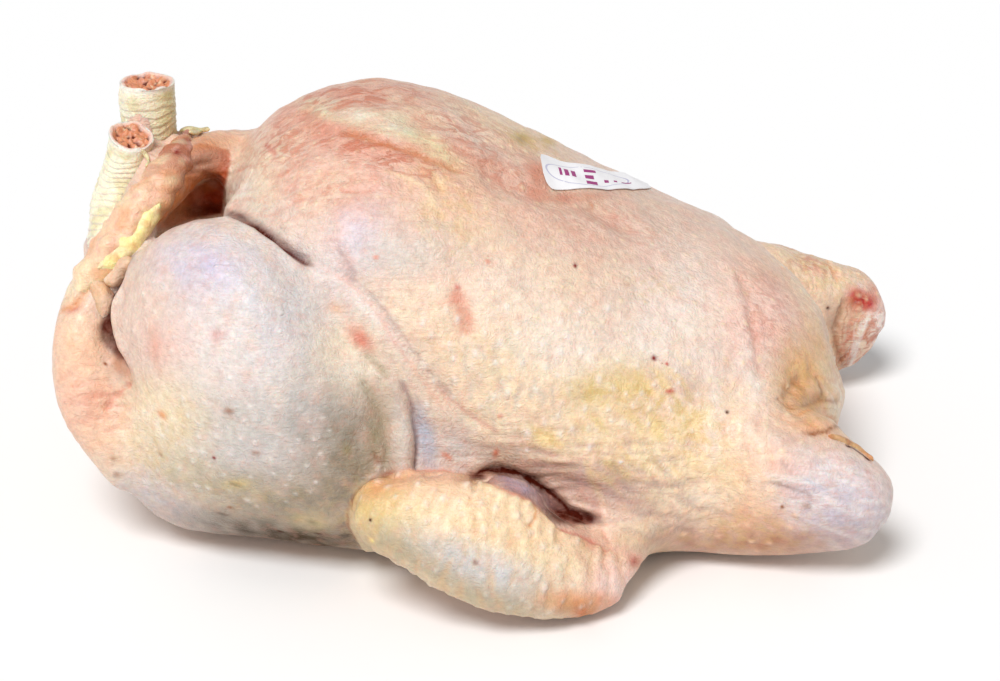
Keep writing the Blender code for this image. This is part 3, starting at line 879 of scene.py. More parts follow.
# Colours, laid on in this order
PATCHES = [
    # Breast
    shown((600, 250), (230, 100), 20, "skin", 0.5),
    shown((330, 150), (110, 70), -10, "rose", 0.28),
    Patch((345, 95), (70, 16), -6, "rose", 0.5),
    Patch((318, 128), (38, 16), 20, "rose", 0.55),
    Patch((385, 152), (62, 13), 22, "rose", 0.5),
    Patch((455, 122), (46, 22), 25, "rose", 0.25),
    Patch((470, 150), (40, 16), 25, "rose", 0.25),
    shown((330, 110), (32, 10), 14, "green_cream", 0.95, hard=1.5),
    shown((372, 121), (40, 11), 14, "green_cream", 0.85, hard=1.5),
    shown((402, 128), (26, 12), 20, "olive_cream", 0.55, hard=1.5),
    shown((346, 112), (36, 9), 14, "white", 0.45),
    shown((395, 126), (34, 9), 16, "white", 0.35),
    shown((438, 150), (36, 11), 36, "green_cream", 0.75, hard=1.5),
    shown((424, 172), (9, 6), 30, "orange", 0.4),
    shown((358, 137), (46, 7), 18, "squiggle", 0.45),
    shown((455, 130), (22, 14), 40, "squiggle", 0.2),
    shown((462, 130), (34, 16), 32, "white", 0.35),
    shown((480, 160), (24, 8), 30, "squiggle", 0.35),
    shown((430, 118), (40, 8), 28, "cream", 0.5),
    shown((440, 200), (34, 20), 60, "yellow", 0.25),
    # Cream and white at the breast's left end: painted light on its edge over the crease, which lies in
    # shade
    Patch((248, 190), (26, 42), 10, "cream", 0.8),
    Patch((244, 190), (16, 28), 10, "white", 0.5),
    shown((357, 238), (26, 38), 20, "lavender", 0.5),
    Patch((405, 252), (50, 26), 0, "grey", 0.75),
    shown((395, 215), (44, 26), 20, "mauve", 0.18),
    shown((400, 184), (40, 8), 10, "rose", 0.3),
    shown((350, 200), (40, 14), 0, "rose", 0.2),
    Patch((470, 200), (50, 25), 15, "peach", 0.3),
    Patch((505, 128), (60, 18), 30, "cream", 0.45),
    shown((523, 138), (10, 6), 20, "stain", 1.0),
    shown((520, 140), (6, 4), 20, "olive", 0.6),
    shown((547, 141), (8, 4), 20, "stain", 1.0),
    shown((590, 235), (90, 26), 15, "rose", 0.15),
    shown((536, 178), (9, 20), -20, "squiggle", 0.8),
    shown((575, 195), (36, 5), 2, "squiggle", 0.6),
    shown((700, 240), (70, 40), 25, "skin", 0.4),
    Patch((680, 300), (60, 60), 0, "white", 0.45),
    Patch((660, 350), (60, 34), 0, "white", 0.4),
    Patch((500, 300), (60, 40), 0, "white", 0.3),
    shown((463, 312), (9, 26), -12, "rose", 0.55),
    # Neck end
    Patch((772, 310), (46, 44), 25, "hand_pink", 0.8),
    Patch((768, 278), (30, 14), 30, "rose", 0.4),
    Patch((766, 330), (24, 14), 10, "rose", 0.3),
    Patch((752, 375), (14, 44), -5, "white", 0.5),
    Patch((818, 325), (12, 60), -24, "cream", 0.6),
    Patch((818, 345), (12, 40), -20, "orange", 0.3),
    Patch((812, 385), (34, 46), -10, "tan", 0.85, hard=1.5),
    Patch((797, 365), (16, 28), 0, "tan", 0.45),
    Patch((816, 395), (26, 32), -10, "orange", 0.3),
    Patch((824, 370), (9, 22), -12, "cream", 0.5),
    # Cream and white lighten the fold where it lies in shade: painted light
    Patch((836, 396), (13, 26), -5, "cream", 0.8),
    Patch((836, 400), (12, 24), -5, "white", 0.5),
    Patch((800, 395), (9, 20), 15, "brown", 0.35),
    Patch((822, 398), (6, 14), -10, "brown", 0.35),
    Patch((812, 428), (24, 7), 8, "orange", 0.5),
    # Flank
    Patch((500, 340), (110, 60), 10, "cream", 0.35),
    Patch((520, 400), (110, 52), 12, "cream", 0.45),
    Patch((560, 350), (60, 34), 10, "white", 0.4),
    Patch((588, 392), (18, 13), 10, "yellow", 0.6),
    Patch((588, 392), (16, 11), 10, "olive", 0.25),
    Patch((628, 388), (28, 22), 10, "yellow", 0.7),
    Patch((632, 388), (24, 18), 10, "olive", 0.15),
    Patch((690, 386), (16, 18), -20, "mauve", 0.3),
    Patch((692, 424), (16, 15), 0, "yellow", 0.7),
    Patch((544, 438), (15, 10), 10, "yellow", 0.85),
    Patch((700, 345), (34, 24), 20, "skin", 0.2),
    Patch((620, 440), (70, 36), 10, "cream", 0.5),
    Patch((700, 450), (70, 44), 0, "cream", 0.5),
    Patch((714, 420), (8, 70), 2, "white", 0.4),
    Patch((718, 480), (24, 22), 0, "yellow", 0.35),
    Patch((604, 486), (70, 16), 8, "mauve", 0.7),
    Patch((650, 504), (60, 14), 8, "mauve", 0.5),
    Patch((540, 470), (60, 10), 8, "mauve", 0.35),
    Patch((510, 449), (22, 8), 5, "mauve", 0.5),
    Patch((457, 440), (30, 30), 30, "blue_grey", 0.5),
    Patch((462, 452), (40, 18), 20, "grey", 0.4),
    Patch((620, 540), (40, 12), 20, "cream", 0.4),
    # Brown along the bottom edge is painted shade on the underside
    Patch((700, 543), (100, 15), 0, "brown", 0.5),
    Patch((760, 515), (50, 24), 0, "orange", 0.3),
    Patch((690, 495), (50, 22), 0, "cream", 0.7),
    Patch((700, 498), (34, 16), 0, "white", 0.35),
    # Near wing, elbow
    Patch((838, 500), (64, 44), 25, "lavender", 0.45, hard=1.5),
    Patch((838, 500), (64, 44), 25, "cool", 0.5, hard=1.5),
    Patch((846, 526), (54, 28), 10, "elbow_grey", 0.6),
    # Brown along the bottom edge is painted shade on the underside
    Patch((780, 543), (64, 14), 0, "brown", 0.6),
    Patch((760, 520), (40, 24), 20, "orange", 0.25),
    Patch((790, 440), (24, 10), 20, "mauve", 0.3),
    Patch((785, 470), (30, 16), 20, "rose", 0.3),
    # Thigh
    Patch((240, 380), (150, 165), 20, "cool", 0.5, hard=1.5),
    Patch((232, 352), (80, 64), 20, "white", 0.4),
    Patch((240, 450), (80, 40), 8, "cool", 0.5),
    Patch((215, 265), (95, 50), 10, "cool", 0.5),
    Patch((232, 424), (84, 34), 0, "grey", 0.8),
    Patch((205, 268), (44, 26), 10, "lavender", 0.55),
    Patch((292, 330), (44, 46), 30, "blue_grey", 0.35),
    Patch((300, 285), (44, 26), 35, "grey", 0.35),
    Patch((322, 412), (30, 34), 0, "blue_grey", 0.35),
    Patch((140, 300), (24, 50), 0, "skin", 0.5),
    Patch((165, 345), (28, 34), 15, "pink", 0.45),
    Patch((152, 418), (44, 30), 20, "yellow", 0.4),
    Patch((158, 415), (40, 34), 20, "cream", 0.8),
    Patch((150, 420), (26, 22), 20, "white", 0.35),
    Patch((180, 470), (34, 20), 20, "green_cream", 0.35),
    # Painted shade: olive-grey, olive and umber darken the thigh's lower right side and its bottom edge;
    # the yellow marks among them are its own colour
    Patch((348, 456), (54, 84), -4, "shade_olive_grey", 0.95),
    Patch((300, 505), (80, 30), -4, "shade_olive_grey", 0.7),
    Patch((235, 488), (80, 26), 12, "olive", 0.55),
    Patch((270, 526), (104, 18), 6, "shade_olive_grey", 0.8),
    Patch((285, 535), (90, 11), 5, "umber", 0.7),
    Patch((310, 522), (20, 8), 5, "yellow", 0.45),
    Patch((305, 541), (70, 8), 5, "umber", 0.75),
    Patch((205, 519), (80, 12), 16, "umber", 0.2),
    shown((236, 484), (13, 5), 0, "yellow", 0.55),
    Patch((356, 538), (20, 12), 5, "umber", 0.3),
    Patch((150, 494), (46, 16), 28, "blue_grey", 0.5),
    # Olive in the hollow beside the fold is painted shade
    Patch((374, 432), (14, 42), 12, "olive", 0.5),
    Patch((425, 440), (12, 38), -12, "blue_grey", 0.85, hard=1.5),
    Patch((350, 356), (30, 36), -20, "cream", 0.6),
    Patch((350, 368), (20, 20), 0, "white", 0.4),
    Patch((480, 420), (26, 18), 20, "cream", 0.4),
    Patch((378, 318), (60, 8), 50, "white", 0.6),
    shown((360, 338), (18, 9), 42, "rose", 0.95, hard=1.5),
    shown((362, 341), (11, 5), 42, "red", 0.2),
    shown((335, 308), (8, 6), 20, "orange", 0.45),
    shown((218, 335), (8, 6), 20, "red", 0.4),
    shown((155, 345), (7, 22), -10, "rose", 0.6),
    # Painted shade: maroon and near-black in the crease where the thigh overlaps the breast
    Patch((272, 240), (90, 90), 0, "maroon", 0.75, within=CREASE, edge=3.5),
    Patch((270, 237), (46, 46), 40, "dark", 1.0, hard=1.5, within=CREASE_DEEP, edge=1.2),
    Patch((402, 432), (9, 46), -8, "grey", 0.6),
    # Leg under the band of skin
    shown((80, 370), (36, 80), -6, "peach", 0.9, hard=1.5),
    Patch((96, 440), (40, 24), 35, "peach", 0.5),
    shown((84, 402), (34, 26), 10, "pink", 0.5),
    # Brown, rust and near-black left of the thigh's edge: painted shadow on the leg
    shown((120, 368), (12, 16), -30, "brown", 0.5),
    shown((108, 336), (60, 60), 0, "rust", 0.35, within=HOCK, edge=4.0),
    shown((112, 336), (60, 60), 0, "dark", 0.95, within=HOCK_DEEP, edge=3.0),
    shown((66, 292), (14, 14), 0, "cream", 0.7),
    shown((72, 309), (8, 4), -20, "red", 0.7),
    # Painted shadow between the fat and the thigh's edge
    shown((129, 261), (6, 5), -20, "dark", 0.8),
    # Vent and the far part of the band
    shown((212, 140), (30, 8), 4, "orange", 0.75),
    shown((208, 147), (12, 5), 0, "rust", 0.6),
    shown((195, 129), (8, 5), -10, "green_cream", 0.8),
    shown((226, 143), (12, 9), 0, "peach", 0.6),
    in_vent((205, 190), (80, 80), 0, "rust", 0.95),
    in_vent((206, 161), (30, 13), -10, "vent_flesh", 1.0, hard=1.5),
    in_vent((212, 178), (22, 7), -8, "brown", 0.7),
    in_vent((224, 185), (10, 36), 6, "deep_red", 0.8),
    # Deep red and near-black at the vent's bottom: the flesh's colour darkened as painted shade
    in_vent((210, 204), (30, 16), 0, "deep_red", 1.0, hard=1.5),
    in_vent((206, 211), (28, 8), 0, "dark", 0.8, hard=1.5),
    shown((165, 215), (12, 9), -30, "rust", 0.8),
    in_vent((174, 203), (15, 18), 20, "orange", 0.7),
    # Hand of the near wing
    on_hand((490, 545), (200, 200), 20, "cream", 0.85),
    on_hand((490, 522), (90, 26), 20, "yellow", 0.15),
    on_hand((500, 520), (80, 22), 20, "peach", 0.35),
    on_hand((374, 508), (40, 32), 0, "yellow", 0.85),
    on_hand((385, 486), (30, 10), -25, "orange", 0.75),
    Patch((386, 474), (14, 4), -10, "brown", 0.7),
    Patch((440, 477), (46, 8), 0, "red", 0.4),
    on_hand((430, 490), (46, 14), 10, "peach", 0.6),
    # Olive and grey towards the hand's lower edge: its own olive-grey tone, deepened as painted shade on
    # its underside
    on_hand((450, 570), (80, 22), 28, "olive", 0.7),
    on_hand((510, 600), (70, 20), 12, "olive", 0.5),
    on_hand((470, 567), (90, 20), 24, "grey", 0.9),
    on_hand((500, 566), (60, 16), 20, "cool", 0.5),
    on_hand((398, 550), (40, 13), 25, "olive", 0.4),
    Patch((590, 540), (36, 16), 25, "rose", 0.35),
    Patch((612, 586), (30, 26), -20, "hand_pink", 1.0),
    Patch((612, 582), (24, 20), -20, "pink", 0.45),
    shown((612, 586), (17, 14), -20, "white", 0.4),
    shown((602, 604), (20, 12), -10, "rose", 0.55),
    Patch((575, 602), (34, 11), 5, "orange", 0.95),
    shown((578, 608), (22, 7), 5, "brown", 0.5),
    shown((583, 612), (11, 6), 0, "rust", 1.1),
    shown((636, 562), (9, 6), 30, "red", 0.8),
    # The hollow over the hand: painted shade in its crevice, and on the lobe over its own mauve
    Patch((482, 476), (22, 9), -8, "brown", 0.75),
    Patch((477, 477), (9, 6), 0, "dark", 0.9, hard=1.5),
    Patch((530, 492), (60, 30), 28, "mauve", 1.1, within=LOBE),
    Patch((520, 484), (24, 5), 25, "lavender", 0.35, within=LOBE),
    Patch((556, 501), (20, 7), 48, "maroon", 0.85, hard=1.5),
    Patch((573, 516), (26, 8), 10, "dark", 1.2, hard=2.0),
    Patch((500, 470), (30, 5), 4, "dark", 0.85),
    # Far wing
    shown((820, 275), (60, 34), 35, "cream", 0.4),
    shown((850, 330), (30, 50), 20, "tan", 0.5),
    shown((868, 340), (12, 34), 25, "rose", 0.5),
    shown((880, 315), (10, 28), 0, "hand_pink", 1.0),
    # Cream and white lighten the far wing where it faces away from the light: painted light
    shown((842, 288), (14, 10), 20, "cream", 0.8),
    shown((857, 338), (16, 30), 20, "cream", 0.5),
    shown((850, 345), (18, 30), 20, "white", 0.3),
    shown((878, 322), (9, 24), 8, "white", 0.8),
    shown((843, 289), (13, 8), 20, "white", 0.3),
    shown((862, 296), (22, 12), 20, "pink", 0.7),
    shown((863, 299), (15, 11), 20, "crimson", 1.2, hard=1.5),
    shown((855, 303), (6, 6), 20, "deep_red", 0.8),
    shown((875, 292), (9, 7), 30, "rose", 0.7),
    shown((862, 285), (12, 4), 30, "white", 0.5),
    shown((845, 345), (9, 34), 16, "brown", 0.35),
    shown((832, 320), (12, 20), 20, "mauve", 0.35),
]

SPECKS = [
    Speck((214, 458), (0.8, 0.7), 0, "blood", 1.0),
    Speck((575, 266), (0.8, 0.9), 0, "blood", 1.0),
    Speck((654, 358), (1.1, 0.9), 70, "blood", 1.0),
    Speck((667, 364), (0.7, 0.5), 30, "red", 0.9),
    Speck((670, 391), (1.8, 0.8), -10, "red", 0.8),
    Speck((500, 416), (1.0, 0.8), 0, "rose", 0.8),
    Speck((727, 412), (0.6, 0.6), 0, "dark", 1.0),
    Speck((376, 257), (1.0, 0.8), 0, "rose", 0.9),
    Speck((288, 171), (1.0, 0.7), 0, "rose", 0.9),
    Speck((457, 287), (1.2, 0.9), 40, "red", 0.6),
    Speck((488, 261), (1.0, 0.8), 0, "rose", 0.9),
    Speck((162, 415), (2.2, 1.5), 10, "orange", 0.85),
    Speck((229, 411), (1.8, 1.3), 0, "brown", 0.7),
    Speck((255, 453), (1.6, 0.9), 0, "brown", 0.5),
    Speck((234, 484), (3.2, 1.1), 0, "umber", 0.5),
    Speck((222, 513), (2.8, 0.9), 0, "umber", 0.5),
    Speck((230, 507), (1.2, 0.8), 0, "brown", 0.7),
    Speck((113, 458), (1.3, 1.0), 0, "brown", 0.6),
    Speck((117, 474), (1.3, 1.2), 0, "brown", 0.6),
    Speck((160, 455), (1.2, 0.9), 0, "brown", 0.5),
    Speck((347, 450), (1.7, 2.0), 0, "olive", 0.9),
    Speck((312, 523), (1.8, 1.5), 0, "olive", 0.9),
    Speck((318, 534), (1.6, 0.7), 0, "dark", 0.8),
    Speck((280, 532), (1.6, 0.7), 0, "dark", 0.8),
    Speck((370, 520), (0.7, 0.7), 0, "dark", 1.0),
    Speck((371, 541), (0.9, 0.9), 0, "yellow", 1.0, 0.3),
    Speck((475, 562), (0.9, 0.9), 0, "mauve", 0.8),
    Speck((782, 507), (0.6, 0.7), 0, "brown", 1.0),
    Speck((806, 506), (2.0, 1.1), 5, "brown", 0.6),
    Speck((828, 308), (0.9, 0.7), 20, "dark", 1.0, -0.6),
    Speck((105, 364), (0.8, 0.5), 30, "brown", 1.0),
    Speck((496, 453), (1.0, 1.7), 20, "squiggle", 1.0),
    Speck((447, 456), (2.2, 0.9), 35, "squiggle", 0.8),
    Speck((620, 462), (0.9, 0.6), 0, "white", 1.0, 0.4),
]

FOLLICLES = [
    Follicles((245, 448), (106, 64), -6, (15, 14), (0.95, 0.85), 0.3, "white", 0.42, 0.3),
    Follicles((215, 320), (85, 60), 20, (19, 15), (0.8, 0.7), 0.14, "white", 0.35, 0.35),
    Follicles((600, 255), (185, 75), 15, (30, 20), (0.9, 0.8), 0.18, "cream", 0.5, mirrored=False),
    Follicles((560, 375), (150, 70), 8, (17, 18), (0.9, 1.2), 0.25, "white", 0.45, 0.35),
    Follicles((715, 425), (90, 70), 0, (15, 16), (0.9, 1.1), 0.28, "cream", 0.5, 0.3),
    Follicles((730, 514), (74, 40), 2, (13, 12), (1.2, 1.0), 0.45, "peach", 0.6),
    Follicles((470, 520), (120, 36), 20, (15, 18), (0.9, 1.2), 0.35, "white", 0.32),
    Follicles((500, 575), (105, 38), 20, (16, 15), (0.9, 1.1), 0.35, "white", 0.28),
    Follicles((820, 272), (60, 32), 30, (11, 10), (1.0, 0.9), 0.35, "cream", 0.4, mirrored=False),
    Follicles((500, 135), (60, 26), 28, (15, 12), (0.8, 0.8), 0.3, "cream", 0.7, mirrored=False),
    Follicles((330, 160), (80, 60), 10, (17, 13), (0.7, 0.6), 0.15, "cream", 0.35, mirrored=False),
]

WRINKLES = [
    Wrinkles((490, 540), (150, 190), 100, 4.0, 4.5, 0.65, "tan", 0.4, within=HAND),
    Wrinkles((500, 385), (52, 80), 96, 3.6, 3, 0.6, "grey", 0.4),
    Wrinkles((640, 428), (60, 80), 55, 4.8, 4, 0.5, "yellow", 0.7),
    Wrinkles((650, 470), (40, 75), 60, 4.8, 3, 0.5, "mauve", 0.4),
    Wrinkles((735, 455), (50, 50), 80, 4.6, 3, 0.6, "rose", 0.3),
    Wrinkles((570, 462), (140, 36), 5, 3.4, 7, 0.7, "mauve", 0.45),
    Wrinkles((640, 505), (90, 30), 8, 3.2, 7, 0.6, "mauve", 0.4),
    Wrinkles((590, 540), (40, 24), 60, 3.4, 3, 0.6, "rose", 0.4),
    Wrinkles((835, 500), (66, 50), 20, 2.6, 9, 0.4, "white", 0.5),
    Wrinkles((92, 400), (42, 62), -12, 3.2, 7, 0.5, "rose", 0.35, mirrored=False),
    Wrinkles((290, 195), (70, 30), -8, 2.6, 8, 0.3, "rose", 0.4, mirrored=False),
    Wrinkles((310, 128), (60, 30), -42, 2.6, 5, 0.35, "rose", 0.5, mirrored=False),
    Wrinkles((340, 94), (40, 14), -12, 2.4, 4, 0.35, "rose", 0.6, mirrored=False),
    Wrinkles((430, 140), (90, 45), 28, 2.6, 5, 0.35, "rose", 0.4, mirrored=False),
    Wrinkles((442, 205), (46, 34), 68, 2.8, 6, 0.4, "yellow", 0.35, mirrored=False),
    Wrinkles((815, 392), (36, 46), 30, 4.2, 2, 0.7, "orange", 0.35),
    Wrinkles((862, 340), (34, 26), -50, 2.4, 5, 0.5, "squiggle", 0.9),
    Wrinkles((322, 412), (52, 44), -8, 2.2, 8, 0.25, "grey", 0.3),
    Wrinkles((208, 165), (34, 20), -12, 2.6, 5, 0.5, "brown", 0.4, mirrored=False),
]

# Where the shader draws fine strands along the bird, squiggles of red, and yellow stains
FIBRES = [
    Patch((470, 180), (260, 90), 12, share=0.5),
    Patch((570, 470), (200, 50), 6, share=0.8),
    Patch((835, 500), (60, 44), 20, share=0.8),
    Patch((400, 330), (80, 80), 50, share=0.6),
    Patch((240, 300), (150, 90), 10, share=0.3),
]
FLUSHED = [
    Patch((345, 96), (90, 18), -4, share=0.9),
    shown((285, 140), (44, 30), -35, share=0.7),
    shown((370, 150), (90, 17), 18, share=1.0),
    shown((462, 132), (60, 26), 30, share=0.65),
    shown((500, 172), (60, 16), 22, share=0.6),
    shown((330, 190), (60, 18), -4, share=0.45),
    shown((590, 215), (90, 26), 18, share=0.35),
    Patch((772, 310), (44, 50), 20, share=0.4),
    shown((90, 400), (40, 50), 0, share=0.25),
    shown((862, 340), (24, 44), 20, share=0.9),
    shown((808, 262), (34, 12), 30, share=0.6),
]
STAINED = [
    Patch((596, 392), (36, 18), 10, share=0.8),
    Patch((655, 402), (60, 26), 25, share=0.9),
    Patch((694, 430), (40, 34), 0, share=0.7),
    Patch((544, 438), (26, 12), 10, share=0.9),
    Patch((640, 455), (110, 30), 8, share=0.45),
    Patch((470, 350), (60, 26), 20, share=0.35),
    shown((650, 285), (30, 12), 0, share=0.4),
    Patch((160, 440), (50, 60), 10, share=0.4),
    Patch((250, 495), (100, 20), 10, share=0.25),
    Patch((815, 385), (34, 56), -10, share=0.5),
    shown((818, 268), (54, 24), 30, share=0.6),
    Patch((745, 530), (90, 24), 0, share=0.5),
    Patch((370, 510), (44, 36), 0, share=0.5),
    shown((525, 140), (36, 8), 20, share=0.9),
    shown((455, 215), (50, 40), 50, share=0.3),
]


@dataclass
class Shank:
    """A cut lower leg: (pixel, pixel, depth along y in mm, radius in mm) from its cut end down."""

    stations: list
    cut: tuple  # direction that the cut faces
    scale_turn: float  # how steeply its scales run round it
    scale_tint: float
    reach: float  # mm out to which it draws the skin in
    seed: int


NEAR_SHANK = Shank(
    [(131, 135, 2.8, 7.0), (129, 157, 2.8, 7.1), (122, 180, 2.4, 7.6), (117, 203, 1.0, 8.0),
     (115, 224, -1.0, 8.3), (114, 248, -4.0, 8.3)],
    (0.22, -0.25, 1.0), 0.55, 0.36, 4.5, 80,
)
FAR_SHANK = Shank(
    [(147, 81, 19.0, 8.6), (147, 100, 19.0, 8.8), (149, 130, 19.5, 9.1), (149, 152, 20.5, 8.8),
     (148, 174, 22.0, 8.0)],
    (0.0, 0.06, 1.0), 0.1, 0.14, 1.8, 70,
)
SHANK_SIDES, SHANK_RINGS = 96, 110

# The cut end: its rim as (share of the radius, mm below the cut, share of the way in), and its marrow
RIM = [(1.0, 0.35, 0.1), (0.97, 0.05, 0.3), (0.93, 0.0, 0.5), (0.86, 0.15, 0.7)]
RIM_WIDE = 1.5  # mm, from the shank's outside to its marrow
MARROW_RINGS = 20
MARROW_SUNK, MARROW_DIP = 1.0, 0.6  # mm at its edge, and how much more at its middle
CUT_TURNS = 14  # mm down the shank over which its rings turn from the cut's slope to its own
SCALES_APART = 2.3  # mm

# The skin that a shank draws in: where to look for it, and over which shares of the shank's length it fades
TAIL_X, TAIL_Z = -80, 40  # mm, the skin before this x and over this z
TUCK_WIDER = 4.0  # mm of more reach at the shank's top
TUCK_NARROWS, TUCK_ENDS = (0.3, 0.55), (0.72, 0.98)
TUCK_EDGE = 2.2  # mm over which the reach fades
TUCK_DEEP = 1.3  # mm under the shank's surface, where the drawn skin ends up
TUCK_LOW = 4.0  # mm below the cut, the drawn skin's top


def shank_axis(shank, count=40):
    """The middle line of a shank in mm, and its radii."""
    places = np.array([on_plane(s[:2], s[2]) for s in shank.stations])
    line = smooth_line(places, 1.0)
    line = np.stack([along_line(line[:, i], count) for i in range(3)], axis=1)
    return line, along_line([s[3] for s in shank.stations], count)


def tuck_in(skin, shanks):
    """Draws the skin in where a separate shank covers it."""
    where = np.flatnonzero((skin.points[:, 2] > TAIL_Z) & (skin.points[:, 0] < TAIL_X))
    points = skin.points[where]
    best = np.full(len(where), np.inf)
    target = points.copy()
    for shank in shanks:
        line, radii = shank_axis(shank)
        up = unit(line[0] - line[6])
        apart = np.linalg.norm(points[:, None] - line[None], axis=2)
        step = apart.argmin(axis=1)
        distance = apart[np.arange(len(points)), step]
        share = step / (len(line) - 1)
        over = distance - radii[step]
        reach = shank.reach + TUCK_WIDER * (1 - eased(*TUCK_NARROWS, share))
        pull = (1 - eased(*TUCK_ENDS, share)) * (1 - eased(reach, reach + TUCK_EDGE, over))
        inwards = np.maximum(0.0, 1 - (radii[step] - TUCK_DEEP) / np.maximum(distance, 1e-3))
        moved = points + (line[step] - points) * (inwards * pull)[:, None]
        above = np.maximum(0.0, (moved - line[0]) @ up + TUCK_LOW)
        moved -= up * (above * (pull > 0.3))[:, None]
        closer = over < best
        target[closer] = moved[closer]
        best[closer] = over[closer]
    skin.points[where] = target


def piece_of(name, points, faces, colours):
    """An object from points in mm, with a colour at each."""
    mesh = bpy.data.meshes.new(name)
    mesh.from_pydata([tuple(p) for p in points / 1000], [], faces)
    mesh.update()
    obj = bpy.data.objects.new(name, mesh)
    bpy.context.scene.collection.objects.link(obj)
    if colours is not None:
        put_colours(mesh, "skin_colour", colours)
        mesh.shade_smooth()
    return obj


def ring_faces(rings, sides):
    """Quads between closed rings of points, and a fan over each end."""
    faces = []
    for i in range(rings - 1):
        for j in range(sides):
            k = (j + 1) % sides
            faces.append((i * sides + j, i * sides + k, (i + 1) * sides + k, (i + 1) * sides + j))
    last = rings * sides
    base = (rings - 1) * sides
    faces += [(last, (j + 1) % sides, j) for j in range(sides)]
    faces += [(last + 1, base + j, base + (j + 1) % sides) for j in range(sides)]
    return faces


def layered(base, count, *layers):
    """The base colour at this many points, with each (tint, share) mixed in."""
    colours = np.tile(linear(PALETTE[base]), (count, 1))
    for tint, share in layers:
        share = np.broadcast_to(np.clip(share, 0.0, 1.0), count)[:, None]
        colours += (linear(PALETTE[tint]) - colours) * share
    return colours


def shank_form(shank):
    """A shank's smooth points and faces, and each point's depth, share of the way in, angle and way out."""
    line, radii = shank_axis(shank, SHANK_RINGS)
    ups = -np.gradient(line, axis=0)
    ups /= np.linalg.norm(ups, axis=1, keepdims=True)
    cut = unit(np.array(shank.cut))
    angles = np.arange(SHANK_SIDES) / SHANK_SIDES * 2 * math.pi
    length = np.linalg.norm(np.diff(line, axis=0), axis=1).sum()
    rings, depths, inward = [], [], []

    def ring(step, radius, sink, within):
        up = ups[step]
        side = unit(np.cross(FORWARD, up))
        out = side * np.cos(angles)[:, None] + np.cross(up, side) * np.sin(angles)[:, None]
        depth = length * step / (SHANK_RINGS - 1)
        slope = -(out @ cut) / (up @ cut) * radius * max(0.0, 1 - depth / CUT_TURNS)
        rings.append(line[step] + out * radius + up * (slope - sink)[:, None])
        depths.append(np.full(SHANK_SIDES, depth + sink))
        inward.append(np.full(SHANK_SIDES, within))

    for step in range(SHANK_RINGS - 1, 0, -1):
        ring(step, radii[step], 0.0, 0.0)
    for radius, sink, within in RIM:
        ring(0, radii[0] * radius, sink, within)
    for share in 1 - np.arange(MARROW_RINGS) / MARROW_RINGS:
        sink = MARROW_SUNK + MARROW_DIP * eased(1.0, 0.8, share)
        ring(0, (radii[0] - RIM_WIDE) * share, sink, 1.0)
    points = np.vstack([*rings, line[-1], rings[-1].mean(axis=0)])
    depths = np.append(np.concatenate(depths), [length, MARROW_SUNK + 0.5])
    inward = np.append(np.concatenate(inward), [0.0, 1.0])
    angles = np.append(np.tile(angles, len(rings)), [0.0, 0.0])
    steps = (depths / length * (SHANK_RINGS - 1)).astype(int)
    outward = points - line[np.clip(steps, 0, SHANK_RINGS - 1)]
    outward /= np.maximum(np.linalg.norm(outward, axis=1, keepdims=True), 1e-3)
    return points, ring_faces(len(rings), SHANK_SIDES), depths, inward, angles, outward, ups[0]


def shank_end(name, shank):
    """A cut shank: scaly skin outside, a pale rim of skin and bone, and rough marrow within."""
    points, faces, depths, inward, angles, outward, up = shank_form(shank)
    seed = shank.seed
    outer = inward < 0.05
    scaly = outer * eased(2.0, 6.0, depths)
    climb = shank.scale_turn * 4 * np.cos(angles - 0.4)
    scale = ((depths + 0.7 * ripple(points, 9.0, seed) + climb) / SCALES_APART) % 1.0
    bulge = scaly * 0.38 * (scale - 0.5) + outer * 0.35 * ripple(points, 12.0, seed + 6)
    points = points + outward * bulge[:, None]
    marrow = (inward > 0.95).astype(float)
    rough = ripple(points, 2.8, seed + 1) + 0.7 * ripple(points, 1.7, seed + 2)
    rise = marrow * 0.5 * rough + 0.5 * (inward > 0.2) * ripple(points, 5.0, 5)
    points = points + up * rise[:, None]
    seam = np.exp(-((np.minimum(scale, 1 - scale) / 0.12) ** 2)) * (0.6 + 0.4 * ripple(points, 7.0, 91))
    colours = layered(
        "shank", len(points),
        # Green towards the side that faces right: the shank's own tone, deepened as painted shade on the
        # side away from the light
        ("shank_green", 0.6 * eased(0.1, 0.9, outward @ RIGHT) * outer),
        ("shank_green", 0.4 * eased(0.0, 1.0, ripple(points, 8.0, seed + 3)) * outer),
        ("lavender", shank.scale_tint * scaly * seam),
        ("white", 0.75 * (1 - eased(0.0, 3.0, depths)) * (1 - marrow)),
        ("pink", 0.7 * eased(0.2, 0.6, inward) * (1 - marrow)),
        ("marrow", 0.95 * marrow),
        ("rose", 0.6 * marrow * eased(0.0, 0.8, ripple(points, 3.0, seed + 5))),
        ("cream", 0.7 * marrow * eased(0.5, 1.2, ripple(points, 2.4, seed + 8))),
        ("maroon", 0.9 * marrow * eased(0.2, 1.1, -rough)),
    )
    return piece_of(name, points, faces, colours)


@dataclass
class Ribbon:
    """A thick strip of skin that lies along pixels of the bird."""

    path: list
    widths: list  # mm, half widths along it
    thick: float  # mm, half
    lift: float  # mm over the skin
    seed: int
    bend: float = 0.0  # mm that its edges turn down
    lumps: float = 0.5  # mm
    sink: float = 0.0  # mm that its far end goes into the skin


RIBBON_SIDES = 40

